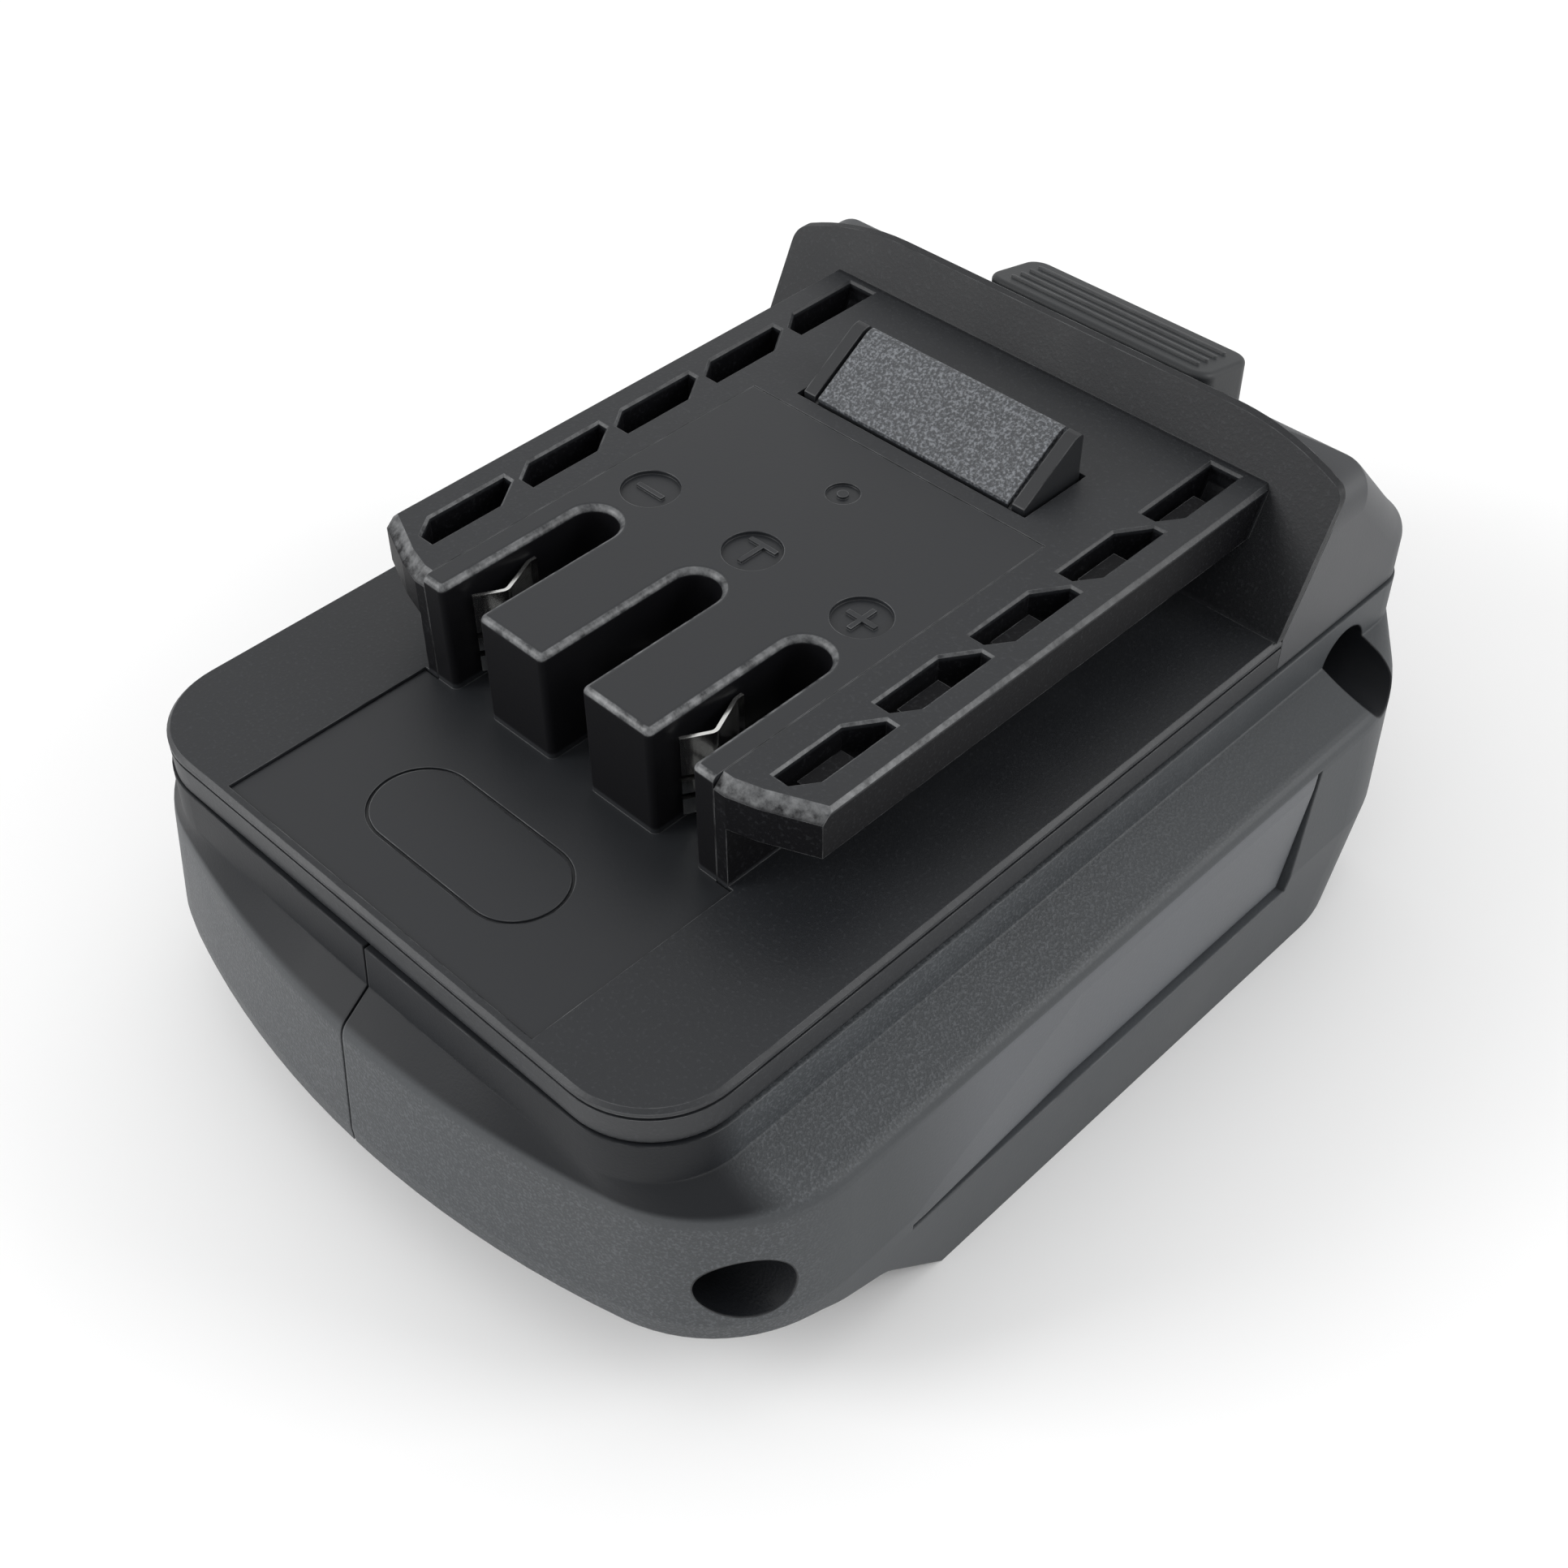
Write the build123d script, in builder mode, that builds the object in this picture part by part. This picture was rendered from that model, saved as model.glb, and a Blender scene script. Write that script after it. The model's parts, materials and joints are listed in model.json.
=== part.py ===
from build123d import *
import math
import os

# Tool battery adapter: a slide-rail top for the tool, a slide-in socket below for another battery pack.
# X is across the adapter, Y runs from its front lip to the release button, Z is up.
# The origin is at the bottom centre, on the surface that the two skirts stand on.

# Overall size: the front, the rail block up to the root of the back wall, and the rear
tray_setback = 6.0
rail_front = 24.9
rail_length = 62.1
rear_depth = 26.0
wall_root = rail_front + rail_length
case_length = tray_setback + wall_root + rear_depth
case_width = 92.0
case_front_y = -case_length / 2
case_rear_y = case_length / 2

# Play and cuts
joint_play = 0.12
seat_play = 0.05
seam_gap = 0.25
running_play = 0.35
overrun = 1.0

# Tray: the flat floor that the tool's foot slides over
tray_width = 75.0
floor_height = 40.0
floor_thickness = 2.4
tray_corner = 9.5
lip_depth = 4.4
lip_wall = 2.0
lip_chamfer = 0.4
lip_groove_drop = 0.8
lip_groove_height = 0.4
lip_groove_sink = 0.3
tray_front_y = case_front_y + tray_setback
tray_half = tray_width / 2
floor_bottom = floor_height - floor_thickness
seam_z = floor_height - lip_depth

# Rail block, built round the terminal insert
insert_half = 20.0
neck_wall = 1.4
flange_reach = 8.6
flange_thickness = 5.3
rail_height = 12.7
roof_thickness = 2.4
flange_corner_run = 3.3
flange_mid_reach = 3.1
flange_mid_run = 0.9
front_chamfer = 1.3
side_chamfer = 0.4
flange_top = floor_height + rail_height
flange_bottom = flange_top - flange_thickness
roof_bottom = flange_top - roof_thickness
neck_half = insert_half + neck_wall
flange_half = neck_half + flange_reach
flange_mid_half = neck_half + flange_mid_reach
flange_corner_back = rail_front + flange_corner_run
flange_mid_back = rail_front + flange_mid_run

# Windows through the flange
window_setback = 4.0
window_pitch = 12.95
window_length = 12.0
window_last_length = 11.6
window_inner_rim = 2.0
window_outer_rim = 3.1
window_rear_slant = 3.4
window_rear_flat = 1.2
window_front_slant = 2.4
window_front_flat = 1.8
window_edge = 0.25
window_first = rail_front + window_setback
window_inner_x = neck_half + window_inner_rim
window_outer_x = flange_half - window_outer_rim
ledge_width = 2.4
ledge_start = 1.8
ledge_length = 5.6
ledge_depth = 1.4
ledge_thickness = 1.6

# Back wall: it leans back, thick up to its shelf and thin above, and its rim drops towards the sides
wall_top_height = 17.6
wall_lean = 8.94
wall_shelf = 12.4
wall_thickness = 2.0
wall_edge = 1.0
wall_side_run = 15.0
wall_side_drop = 3.0
wall_corner = 2.0
wall_fillet = 1.0
wall_slope = wall_top_height / wall_lean
wall_run = wall_thickness * math.sqrt(1 + 1 / wall_slope**2)

# Latch hook
hook_width = 30.2
hook_depth = 8.7
hook_root_gap = 5.7
hook_tip_run = 1.1
hook_height = 5.1
hook_toe = 0.3
hook_body_depth = 9.5
hook_slit_x = 13.3
hook_slit_width = 0.5
hook_slit_depth = 0.8
hook_edge = 0.3
hook_wall = 1.8
hook_side_play = 0.6
hook_front_play = 0.6
hook_back = wall_root - hook_root_gap
hook_front = hook_back - hook_depth
hook_tip_back = hook_back - hook_tip_run

# Terminal insert
insert_gap = 2.8
insert_wall = 1.8
strip_half = 21.9
strip_front = 1.2
strip_drop = 0.3
slot_spacing = 14.5
slot_width = 5.4
slot_length = 19.6
slot_floor_length = 4.6
slot_wall = 1.6
finger_corner = 0.7
finger_edge = 0.8
badge_width = 24.4
badge_depth = 10.6
badge_setback = 11.1
badge_line = 0.35
badge_sink = 0.3
mark_gap = 5.2
mark_diameter = 6.2
mark_sink = 0.45
mark_bar_length = 3.6
mark_bar_width = 0.55
mark_bar_height = 0.28
gate_gap = 7.3
gate_diameter = 3.6
gate_dot = 1.2
gate_sink = 0.3
insert_back = hook_front - insert_gap
slot_tip = rail_front + slot_length
slot_well_front = rail_front + slot_floor_length
badge_back = strip_front + badge_setback
mark_back = slot_tip + mark_gap
gate_back = insert_back - gate_gap

# Slider bar under the hook, and the release button on its rear end
latch_travel = 5.2
slider_bar_width = 22.0
slider_bar_height = 4.0
slider_bar_rise = 0.6
slider_bar_run = 22.0
leg_inset = 6.1
leg_diameter = 7.4
leg_length = 4.0
spring_pocket_diameter = 5.4
spring_pocket_depth = 6.5
button_width = 30.4
button_run = 14.8
button_depth = 9.4
button_front_height = 14.5
button_back_height = 12.5
button_skirt_height = 1.4
button_corner = 2.2
button_edge = 0.6
button_wall = 1.8
button_rib_count = 4
button_rib_height = 0.25
button_rib_width = 0.5
button_rib_inset = 2.2
peg_diameter = 3.0
peg_height = 2.4
peg_spacing = 14.0
peg_gap = 3.0
peg_boss_wall = 1.3
slider_bar_back = wall_root + slider_bar_run
leg_spacing = hook_width - 2 * leg_inset
leg_back = (hook_front + hook_back) / 2
button_front = wall_root + button_run
button_back = button_front + button_depth
peg_back = slider_bar_back - peg_gap

# Latch springs
spring_wire = 0.5
spring_diameter = 4.6
spring_turns = 9
spring_pin_diameter = 3.2
spring_pin_height = 2.2

# Rear cover
cover_wall = 2.0
cover_top_height = 15.2
cover_top_run = 13.2
cover_slope_height = 1.4
cover_corner = 4.5
cover_knee = 5.0
cover_edge = 4.0
cover_side_drop = 1.6
cover_top_back = wall_root + cover_top_run

# Case halves
case_wall = 2.2
case_split = 0.15
band_depth = 9.4
crease_depth = 12.4
crease_inset = 1.0
seam_overhang = 0.4
bottom_inset = 0.7
inside_room = 10.1
socket_roof = 2.0
cradle_height = 13.8
seam_setback = 5.4
band_setback = 5.0
crease_setback = 1.3
bottom_setback = 0.4
seam_bow = 0.4
band_bow = 0.6
crease_bow = 4.6
belly_bow = 4.8
top_corner_span = 9.5
belly_corner_span = 12.5
top_rear_corner = 5.0
belly_rear_corner = 17.0
belly_rear_lean = 1.6
bottom_rear_lean = 5.0
shoulder_drop = 1.2
crease_edge = 1.3
crease_steps = 4
crease_width = case_width - 2 * crease_inset
seam_width = tray_width + 2 * seam_overhang
bottom_width = case_width - 2 * bottom_inset
base_z = floor_bottom - inside_room - socket_roof - cradle_height
band_z = floor_height - band_depth
crease_z = floor_height - crease_depth
belly_z = base_z + case_wall

# Skirts: the case reaches lower beside the pack that hangs under it
skirt_start = 12.0
skirt_step_back = 20.7
skirt_step_drop = 3.2
skirt_foot_back = 29.6
skirt_bend = 5.0
front_plate_back = 16.0

# Side panels
panel_front = 24.0
panel_fade_back = 48.0
panel_sink = 0.8
panel_low_gap = 3.2
panel_high_run = 1.0
panel_low_depth = 28.0
panel_high_depth = 13.4
panel_groove = 0.8
panel_groove_sink = 0.5
panel_back_low = wall_root - panel_low_gap
panel_back_high = wall_root + panel_high_run

# Case screws, driven from the right
screw_recess_diameter = 7.6
screw_tube_wall = 0.6
screw_seat_x = 31.0
screw_floor = 2.4
screw_post_wall = 1.5
screw_head_diameter = 5.8
screw_head_height = 2.2
screw_diameter = 3.0
screw_length = 40.0
screw_clear_diameter = 3.4
drive_width = 0.8
drive_depth = 1.2
drive_share = 0.6
front_screw_back = 6.1
front_screw_depth = 21.4
rear_screw_run = 14.0
rear_screw_depth = 10.1
rear_screw_back = wall_root + rear_screw_run

# Pack socket below: a cradle for the rails of the battery pack
socket_front = 16.3
socket_run = 8.0
socket_side_gap = 4.6
socket_wall = 2.0
throat_half = 22.6
cradle_half = 31.2
cradle_lip = 6.5
gate_half = 38.5
catch_width = 28.0
catch_gap = 3.0
catch_length = 7.0
gusset_thickness = 1.8
gusset_height = 8.0
gusset_places = (30.0, 50.0, 70.0)
socket_back = wall_root + socket_run
socket_half = case_width / 2 - socket_side_gap
catch_front = wall_root - catch_gap
cradle_top = base_z + cradle_height
socket_top = cradle_top + socket_roof
lip_top = base_z + cradle_lip

# Screws that hold the socket to the tray
column_x = 27.0
column_front = 22.0
column_gap = 7.0
column_places = (column_front, wall_root - column_gap)
boss_diameter = 6.4
column_diameter = 8.4
socket_screw_diameter = 2.8
socket_screw_clear = 3.2
socket_screw_head = 5.4
socket_screw_head_height = 1.9
socket_screw_sink = 4.0
socket_screw_floor = 2.0
socket_screw_length = 8.0

# Circuit board and what it carries
board_half = 18.0
board_setback = 1.1
board_gap = 6.6
board_thickness = 1.2
board_lift = 4.6
board_corner = 1.5
board_front = rail_front + board_setback
board_back = hook_front - board_gap
post_x = 15.6
post_front_inset = 7.4
post_back_inset = 3.0
post_places = (board_front + post_front_inset, board_back - post_back_inset)
post_diameter = 4.4
board_screw_diameter = 1.8
board_screw_clear = 2.2
board_screw_head = 3.6
board_screw_head_height = 1.2
board_screw_length = 5.0
chip_width = 7.0
chip_depth = 5.0
chip_height = 1.3
chip_lift = 0.2
chip_leg_count = 5
chip_leg_width = 0.4
chip_leg_reach = 0.8
chip_leg_height = 0.5
chip_x = 1.2
fuse_width = 9.0
fuse_depth = 3.6
fuse_height = 2.8
fuse_cap = 1.4
fuse_cap_rise = 0.2
fuse_x = -8.2
capacitor_diameter = 3.6
capacitor_length = 7.6
capacitor_x = 9.8
capacitor_edge = 0.4
board_z = socket_top + board_lift
board_top = board_z + board_thickness

# Spring contacts for the tool's blades
leaf_thickness = 0.4
leaf_gap = 0.3
leaf_mouth_half = 2.05
leaf_body_half = 2.2
leaf_setback = 3.0
leaf_apex_run = 3.0
leaf_heel_run = 7.3
leaf_tip_gap = 2.9
leaf_bend = 0.9
leaf_low = 1.0
leaf_high = 10.5
leaf_far_high = 7.9
leaf_body_high = 5.0
leaf_slit_count = 2
leaf_slit_height = 0.7
signal_high = 6.0
signal_shift = 2.4
tail_half = 1.4
carrier_half = 18.6
carrier_setback = 6.7
carrier_tip_run = 2.0
carrier_thickness = 1.6
carrier_foot_diameter = 2.6
carrier_foot_inset = 1.8
tower_setback = 13.1
tower_half = 1.3
tower_height = 6.0
leaf_front = rail_front + leaf_setback
leaf_apex = leaf_front + leaf_apex_run
leaf_heel = leaf_front + leaf_heel_run
leaf_back = slot_tip - leaf_tip_gap
carrier_front = rail_front + carrier_setback
carrier_back = slot_tip + carrier_tip_run
tower_front = rail_front + tower_setback
component_back = (carrier_back + board_back) / 2

# Blades for the pack below
blade_spacing = 11.0
blade_thickness = 0.9
blade_height = 6.4
blade_inset = 3.7
blade_length = 17.0
blade_grip = 4.5
blade_block_half = 16.0
blade_block_drop = 9.5
blade_tip_chamfer = 1.2
blade_top_play = 0.5
blade_tail_rise = 3.0
blade_tail_length = 2.6
lead_diameter = 1.6
lead_landing_inset = 3.0
lead_bend = 2.6
blade_root = socket_front + blade_inset
blade_tip = blade_root + blade_length
blade_block_back = blade_root + blade_grip
lead_landing = board_front + lead_landing_inset

os.makedirs("parts", exist_ok=True)


def back(distance):
    """Y of a place that lies this far behind the tray's front lip."""
    return tray_front_y + distance


def over(height):
    """Z of a place that lies this far above the tray floor."""
    return floor_height + height


def save(builder, name):
    """Name a finished piece and write its file."""
    builder.part.label = name
    export_step(builder.part, "parts/" + name + ".step")
    print(name, "solids", len(builder.part.solids()), "volume", round(builder.part.volume, 1))


def slab(x_low, x_high, y_low, y_high, z_low, z_high, mode=Mode.ADD):
    """A straight block between six planes."""
    with BuildSketch(Plane.XY.offset(z_low)) as base:
        with Locations(((x_low + x_high) / 2, (y_low + y_high) / 2)):
            Rectangle(x_high - x_low, y_high - y_low)
    extrude(base.sketch, amount=z_high - z_low, mode=mode)


def rods(spots, diameter, z_low, z_high, mode=Mode.ADD):
    """Round posts or holes along Z at the same height."""
    with BuildSketch(Plane.XY.offset(z_low)) as ends:
        with Locations(*spots):
            Circle(diameter / 2)
    extrude(ends.sketch, amount=z_high - z_low, mode=mode)


def cross_rod(y, z, diameter, x_low, x_high, mode=Mode.ADD):
    """A round post or hole along X."""
    with BuildSketch(Plane.YZ.offset(x_low)) as end:
        with Locations((y, z)):
            Circle(diameter / 2)
    extrude(end.sketch, amount=x_high - x_low, mode=mode)


slot_centres = (-slot_spacing, 0, slot_spacing)
column_spots = [(side * column_x, back(place)) for side in (-1, 1) for place in column_places]
post_spots = [(side * post_x, back(place)) for side in (-1, 1) for place in post_places]
leg_spots = [(side * leg_spacing / 2, back(leg_back)) for side in (-1, 1)]
peg_spots = [(side * peg_spacing / 2, back(peg_back)) for side in (-1, 1)]


# Tray cover
def tray_outline(inset, end):
    """Seen from above: a square rear and rounded front corners."""
    corner = tray_corner - inset
    half = tray_half - inset
    front = tray_front_y + inset
    with BuildSketch() as outline:
        with BuildLine():
            Line((half, end), (half, front + corner))
            RadiusArc((half, front + corner), (half - corner, front), corner)
            Line((half - corner, front), (corner - half, front))
            RadiusArc((corner - half, front), (-half, front + corner), corner)
            Line((-half, front + corner), (-half, end))
            Line((-half, end), (half, end))
        make_face()
    return outline.sketch


def wall_y(height):
    """Y of the back wall's front face at this height above the floor."""
    return back(wall_root) + height / wall_slope


def lean_block(half, front_shift, back_shift, low, high, mode=Mode.ADD):
    """A block across the adapter, between two planes that lean as the back wall does."""
    with BuildSketch(Plane.YZ) as side_view:
        with BuildLine():
            Polyline(
                (wall_y(low) + front_shift, over(low)),
                (wall_y(high) + front_shift, over(high)),
                (wall_y(high) + back_shift, over(high)),
                (wall_y(low) + back_shift, over(low)),
                close=True,
            )
        make_face()
    extrude(side_view.sketch, amount=half, both=True, mode=mode)


def arch(half, top, drop, corner):
    """Seen from the front: flat in the middle, then dropping towards both rounded corners."""
    flat_half = half - wall_side_run
    low = seam_z - overrun
    with BuildSketch(Plane.XZ) as outline:
        with BuildLine():
            Line((-half, top - drop), (-half, low))
            Line((-half, low), (half, low))
            Line((half, low), (half, top - drop))
            TangentArc((flat_half, top), (half, top - drop), tangent=(1, 0))
            Line((flat_half, top), (-flat_half, top))
            TangentArc((-flat_half, top), (-half, top - drop), tangent=(-1, 0))
        make_face()
        fillet(outline.vertices().group_by(Axis.Y)[1], corner)
    return outline.sketch


wall_low = -floor_thickness
wall_inner_half = tray_half - cover_wall - joint_play
with BuildPart() as wall_form:
    lean_block(tray_half, 0, wall_edge, 0, wall_top_height)
    lean_block(wall_inner_half, 0, wall_run, wall_low, wall_shelf)
    wall_arch = arch(tray_half, over(wall_top_height), wall_side_drop, wall_corner)
    extrude(wall_arch, amount=case_length, both=True, mode=Mode.INTERSECT)

# As many windows as fit before the wall
window_room = wall_root + rail_height / wall_slope - wall_fillet - window_first - window_last_length
window_count = int(window_room / window_pitch) + 1


def window_points(side, number):
    """Corners of one window: a slanted hexagon, but the last one has a square end."""
    first = back(window_first + number * window_pitch)
    last = number == window_count - 1
    length = window_last_length if last else window_length
    points = [
        (window_inner_x, 0),
        (window_inner_x, length if last else length - window_rear_slant),
        (window_outer_x - window_rear_flat, length),
        (window_outer_x, length),
        (window_outer_x, window_front_slant),
        (window_inner_x + window_front_flat, 0),
    ]
    if last:
        points.pop(2)
    return [(side * x, first + y) for x, y in points]


def ledge_points(side, number):
    """Corners of the small shelf at the outer side of a window."""
    first = back(window_first + number * window_pitch)
    inner = window_outer_x - ledge_width
    outer = window_outer_x + seat_play
    points = (
        (inner, ledge_start),
        (inner, ledge_start + ledge_length),
        (outer, ledge_start + ledge_length),
        (outer, ledge_start),
    )
    return [(side * x, first + y) for x, y in points]


def at_flange_top(edges):
    """The edges that lie in the flange's top face."""
    return edges.filter_by_position(Axis.Z, flange_top - seat_play, flange_top + seat_play)


with BuildPart() as tray_cover:
    floor_end = back(wall_root) + wall_edge
    with BuildSketch(Plane.XY.offset(seam_z + seam_gap)):
        add(tray_outline(0, floor_end))
    extrude(amount=lip_depth - seam_gap)
    rim = tray_cover.edges().group_by(Axis.Z)[-1].sort_by(Axis.Y)[:-1]
    chamfer(rim, lip_chamfer)
    with BuildSketch(Plane.XY.offset(seam_z)):
        add(tray_outline(lip_wall, floor_end + overrun))
    extrude(amount=lip_depth - floor_thickness, mode=Mode.SUBTRACT)

    # Fine groove round the lip
    with BuildSketch(Plane.XY.offset(floor_height - lip_groove_drop - lip_groove_height)):
        add(tray_outline(-overrun, floor_end))
        add(tray_outline(lip_groove_sink, floor_end), mode=Mode.SUBTRACT)
    extrude(amount=lip_groove_height, mode=Mode.SUBTRACT)

    # Rail block, with its worn front edges
    with BuildSketch(Plane.XY.offset(flange_bottom)):
        with BuildLine():
            Polyline(
                (flange_half, wall_y(rail_height) + wall_edge),
                (flange_half, back(flange_corner_back)),
                (flange_mid_half, back(flange_mid_back)),
                (neck_half, back(rail_front)),
                (-neck_half, back(rail_front)),
                (-flange_mid_half, back(flange_mid_back)),
                (-flange_half, back(flange_corner_back)),
                (-flange_half, wall_y(rail_height) + wall_edge),
                close=True,
            )
        make_face()
    extrude(amount=flange_thickness)
    slab(-neck_half, neck_half, back(rail_front), wall_y(0), floor_bottom, flange_bottom)
    front_edges = at_flange_top(tray_cover.edges()).filter_by(
        lambda e: e.center().Y < back(flange_corner_back)
    )
    chamfer(front_edges, front_chamfer)
    flange_sides = at_flange_top(tray_cover.edges()).filter_by(Axis.Y)
    chamfer(flange_sides, side_chamfer)

    # Windows with their worn rims, and the shelves in those on the right
    with BuildSketch(Plane.XY.offset(flange_bottom - overrun)):
        for side in (-1, 1):
            for number in range(window_count):
                with BuildLine():
                    Polyline(window_points(side, number), close=True)
                make_face()
    extrude(amount=flange_thickness + 2 * overrun, mode=Mode.SUBTRACT)
    rim_low = window_inner_x - seat_play
    rim_high = window_outer_x + seat_play
    window_rims = at_flange_top(tray_cover.edges()).filter_by(
        lambda e: rim_low < abs(e.center().X) < rim_high and e.center().Y > back(window_first) - seat_play
    )
    chamfer(window_rims.filter_by(lambda e: e.length < window_length + seat_play), window_edge)
    with BuildSketch(Plane.XY.offset(flange_top - ledge_depth - ledge_thickness)):
        for number in range(window_count):
            with BuildLine():
                Polyline(ledge_points(1, number), close=True)
            make_face()
    extrude(amount=ledge_thickness)
    add(wall_form.part)
    root_edge = at_flange_top(tray_cover.edges()).filter_by(Axis.X).sort_by(Axis.Y)[-1]
    fillet(root_edge, wall_fillet)

    # Room for the terminal insert and its front strip
    strip_room = strip_half + joint_play
    strip_room_front = back(strip_front) - joint_play
    floor_top = floor_height + overrun
    slab(-strip_room, strip_room, strip_room_front, back(rail_front), seam_z, floor_top, Mode.SUBTRACT)
    room_front = back(rail_front) - overrun
    room_back = back(insert_back) + joint_play
    slab(-insert_half, insert_half, room_front, room_back, seam_z, flange_top + overrun, Mode.SUBTRACT)

    # Room for the latch: under the roof, through it for the hook, and through the wall for the bar
    slab(-insert_half, insert_half, back(insert_back), wall_y(0), seam_z, roof_bottom, Mode.SUBTRACT)
    hook_room = hook_width / 2 + hook_side_play
    hook_room_front = back(hook_front) - hook_front_play
    hook_room_back = back(hook_back) + running_play
    roof_low = roof_bottom - overrun
    roof_high = flange_top + overrun
    slab(-hook_room, hook_room, hook_room_front, hook_room_back, roof_low, roof_high, Mode.SUBTRACT)
    bar_room = slider_bar_width / 2 + running_play
    bar_room_back = wall_y(wall_top_height) + wall_run
    bar_room_top = over(slider_bar_rise + slider_bar_height + running_play)
    slab(-bar_room, bar_room, back(hook_back), bar_room_back, seam_z, bar_room_top, Mode.SUBTRACT)

    # Bosses for the screws of the pack socket
    boss_low = cradle_top + socket_screw_sink + socket_screw_floor
    rods(column_spots, boss_diameter, boss_low, floor_bottom + seat_play)
    socket_screw_bore = socket_screw_diameter + 2 * seat_play
    rods(column_spots, socket_screw_bore, boss_low - overrun, floor_bottom + seat_play, Mode.SUBTRACT)
save(tray_cover, "tray_cover")


# Terminal insert
with BuildPart() as terminal_insert:
    block_half = insert_half - seat_play
    slot_half = slot_width / 2
    slot_end = back(slot_tip) - slot_half
    strip_top = floor_height - strip_drop
    slab(-strip_half, strip_half, back(strip_front), back(rail_front) - joint_play, floor_bottom, strip_top)
    slab(-block_half, block_half, room_front, back(slot_well_front), floor_bottom, strip_top)
    slab(-block_half, block_half, back(rail_front), back(insert_back), floor_bottom, flange_top)

    # Slots for the tool's blades, open to the front and above, and from below behind their floor
    with BuildSketch(Plane.XY.offset(strip_top)):
        for x in slot_centres:
            with Locations((x, slot_end)):
                Circle(slot_half)
            with Locations((x, back(rail_front) - overrun)):
                slot_run = slot_end - back(rail_front) + overrun
                Rectangle(slot_width, slot_run, align=(Align.CENTER, Align.MIN))
    extrude(amount=rail_height + strip_drop + overrun, mode=Mode.SUBTRACT)
    with BuildSketch(Plane.XY.offset(floor_bottom - overrun)):
        for x in slot_centres:
            with Locations((x, slot_end)):
                Circle(slot_half)
            with Locations((x, back(slot_well_front))):
                well_run = slot_end - back(slot_well_front)
                Rectangle(slot_width, well_run, align=(Align.CENTER, Align.MIN))
    extrude(amount=floor_thickness + 2 * overrun, mode=Mode.SUBTRACT)
    corners = (
        terminal_insert.edges()
        .filter_by(Axis.Z)
        .filter_by_position(Axis.Y, back(rail_front) - seat_play, back(rail_front) + seat_play)
        .filter_by(lambda e: abs(e.center().X) < insert_half - overrun)
    )
    fillet(corners, finger_corner)
    mouth_edges = at_flange_top(terminal_insert.edges()).filter_by(
        lambda e: e.center().Y < back(slot_tip) + seat_play and abs(e.center().X) < insert_half - overrun
    )
    fillet(mouth_edges, finger_edge)

    # Hollow underside, with a wall left round every slot
    finger_half = (slot_spacing - slot_width) / 2 - slot_wall
    hollow_low = floor_bottom - overrun
    hollow_high = flange_top - insert_wall
    hollow_front = back(rail_front) + insert_wall
    hollow_middle = back(slot_tip) + slot_wall
    for side in (-1, 1):
        left = side * slot_spacing / 2 - finger_half
        right = side * slot_spacing / 2 + finger_half
        slab(left, right, hollow_front, hollow_middle + seat_play, hollow_low, hollow_high, Mode.SUBTRACT)
    hollow_half = block_half - insert_wall
    hollow_back = back(insert_back) - insert_wall
    slab(-hollow_half, hollow_half, hollow_middle, hollow_back, hollow_low, hollow_high, Mode.SUBTRACT)

    # Bare badge outline on the strip
    with BuildSketch(Plane.XY.offset(strip_top - badge_sink)):
        with Locations((0, back(badge_back))):
            SlotOverall(badge_width, badge_depth)
            SlotOverall(badge_width - 2 * badge_line, badge_depth - 2 * badge_line, mode=Mode.SUBTRACT)
    extrude(amount=badge_sink + overrun, mode=Mode.SUBTRACT)

    # Polarity marks in round recesses, and the moulding gate's ring
    with BuildSketch(Plane.XY.offset(flange_top - mark_sink)):
        with Locations(*[(x, back(mark_back)) for x in slot_centres]):
            Circle(mark_diameter / 2)
    extrude(amount=mark_sink + overrun, mode=Mode.SUBTRACT)
    with BuildSketch(Plane.XY.offset(flange_top - mark_sink)):
        with Locations((-slot_spacing, back(mark_back)), (slot_spacing, back(mark_back))):
            Rectangle(mark_bar_length, mark_bar_width)
        with Locations((slot_spacing, back(mark_back)), (0, back(mark_back))):
            Rectangle(mark_bar_width, mark_bar_length)
        with Locations((0, back(mark_back) + (mark_bar_length - mark_bar_width) / 2)):
            Rectangle(mark_bar_length, mark_bar_width)
    extrude(amount=mark_bar_height)
    with BuildSketch(Plane.XY.offset(flange_top - gate_sink)):
        with Locations((0, back(gate_back))):
            Circle(gate_diameter / 2)
            Circle(gate_dot / 2, mode=Mode.SUBTRACT)
    extrude(amount=gate_sink + overrun, mode=Mode.SUBTRACT)
save(terminal_insert, "terminal_insert")


# Rear cover
def cover_profile(inset):
    """Side view: flat top behind the wall, a long slope and a short rear face."""
    slope_run = case_rear_y - back(cover_top_back)
    slope_drop = cover_top_height - cover_slope_height
    slope_length = math.hypot(slope_run, slope_drop)
    top = over(cover_top_height) - inset
    rear = case_rear_y - inset
    knee = back(cover_top_back) - inset * (slope_length - slope_run) / slope_drop
    rear_top = over(cover_slope_height) - inset * (slope_length - slope_drop) / slope_run
    with BuildSketch(Plane.YZ) as side_view:
        with BuildLine():
            Polyline(
                (back(wall_root), seam_z + seam_gap),
                (back(wall_root), top),
                (knee, top),
                (rear, rear_top),
                (rear, seam_z + seam_gap),
                close=True,
            )
        make_face()
        fillet(side_view.vertices().sort_by_distance((knee, top))[0], cover_knee - inset)
    return side_view.sketch


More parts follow.
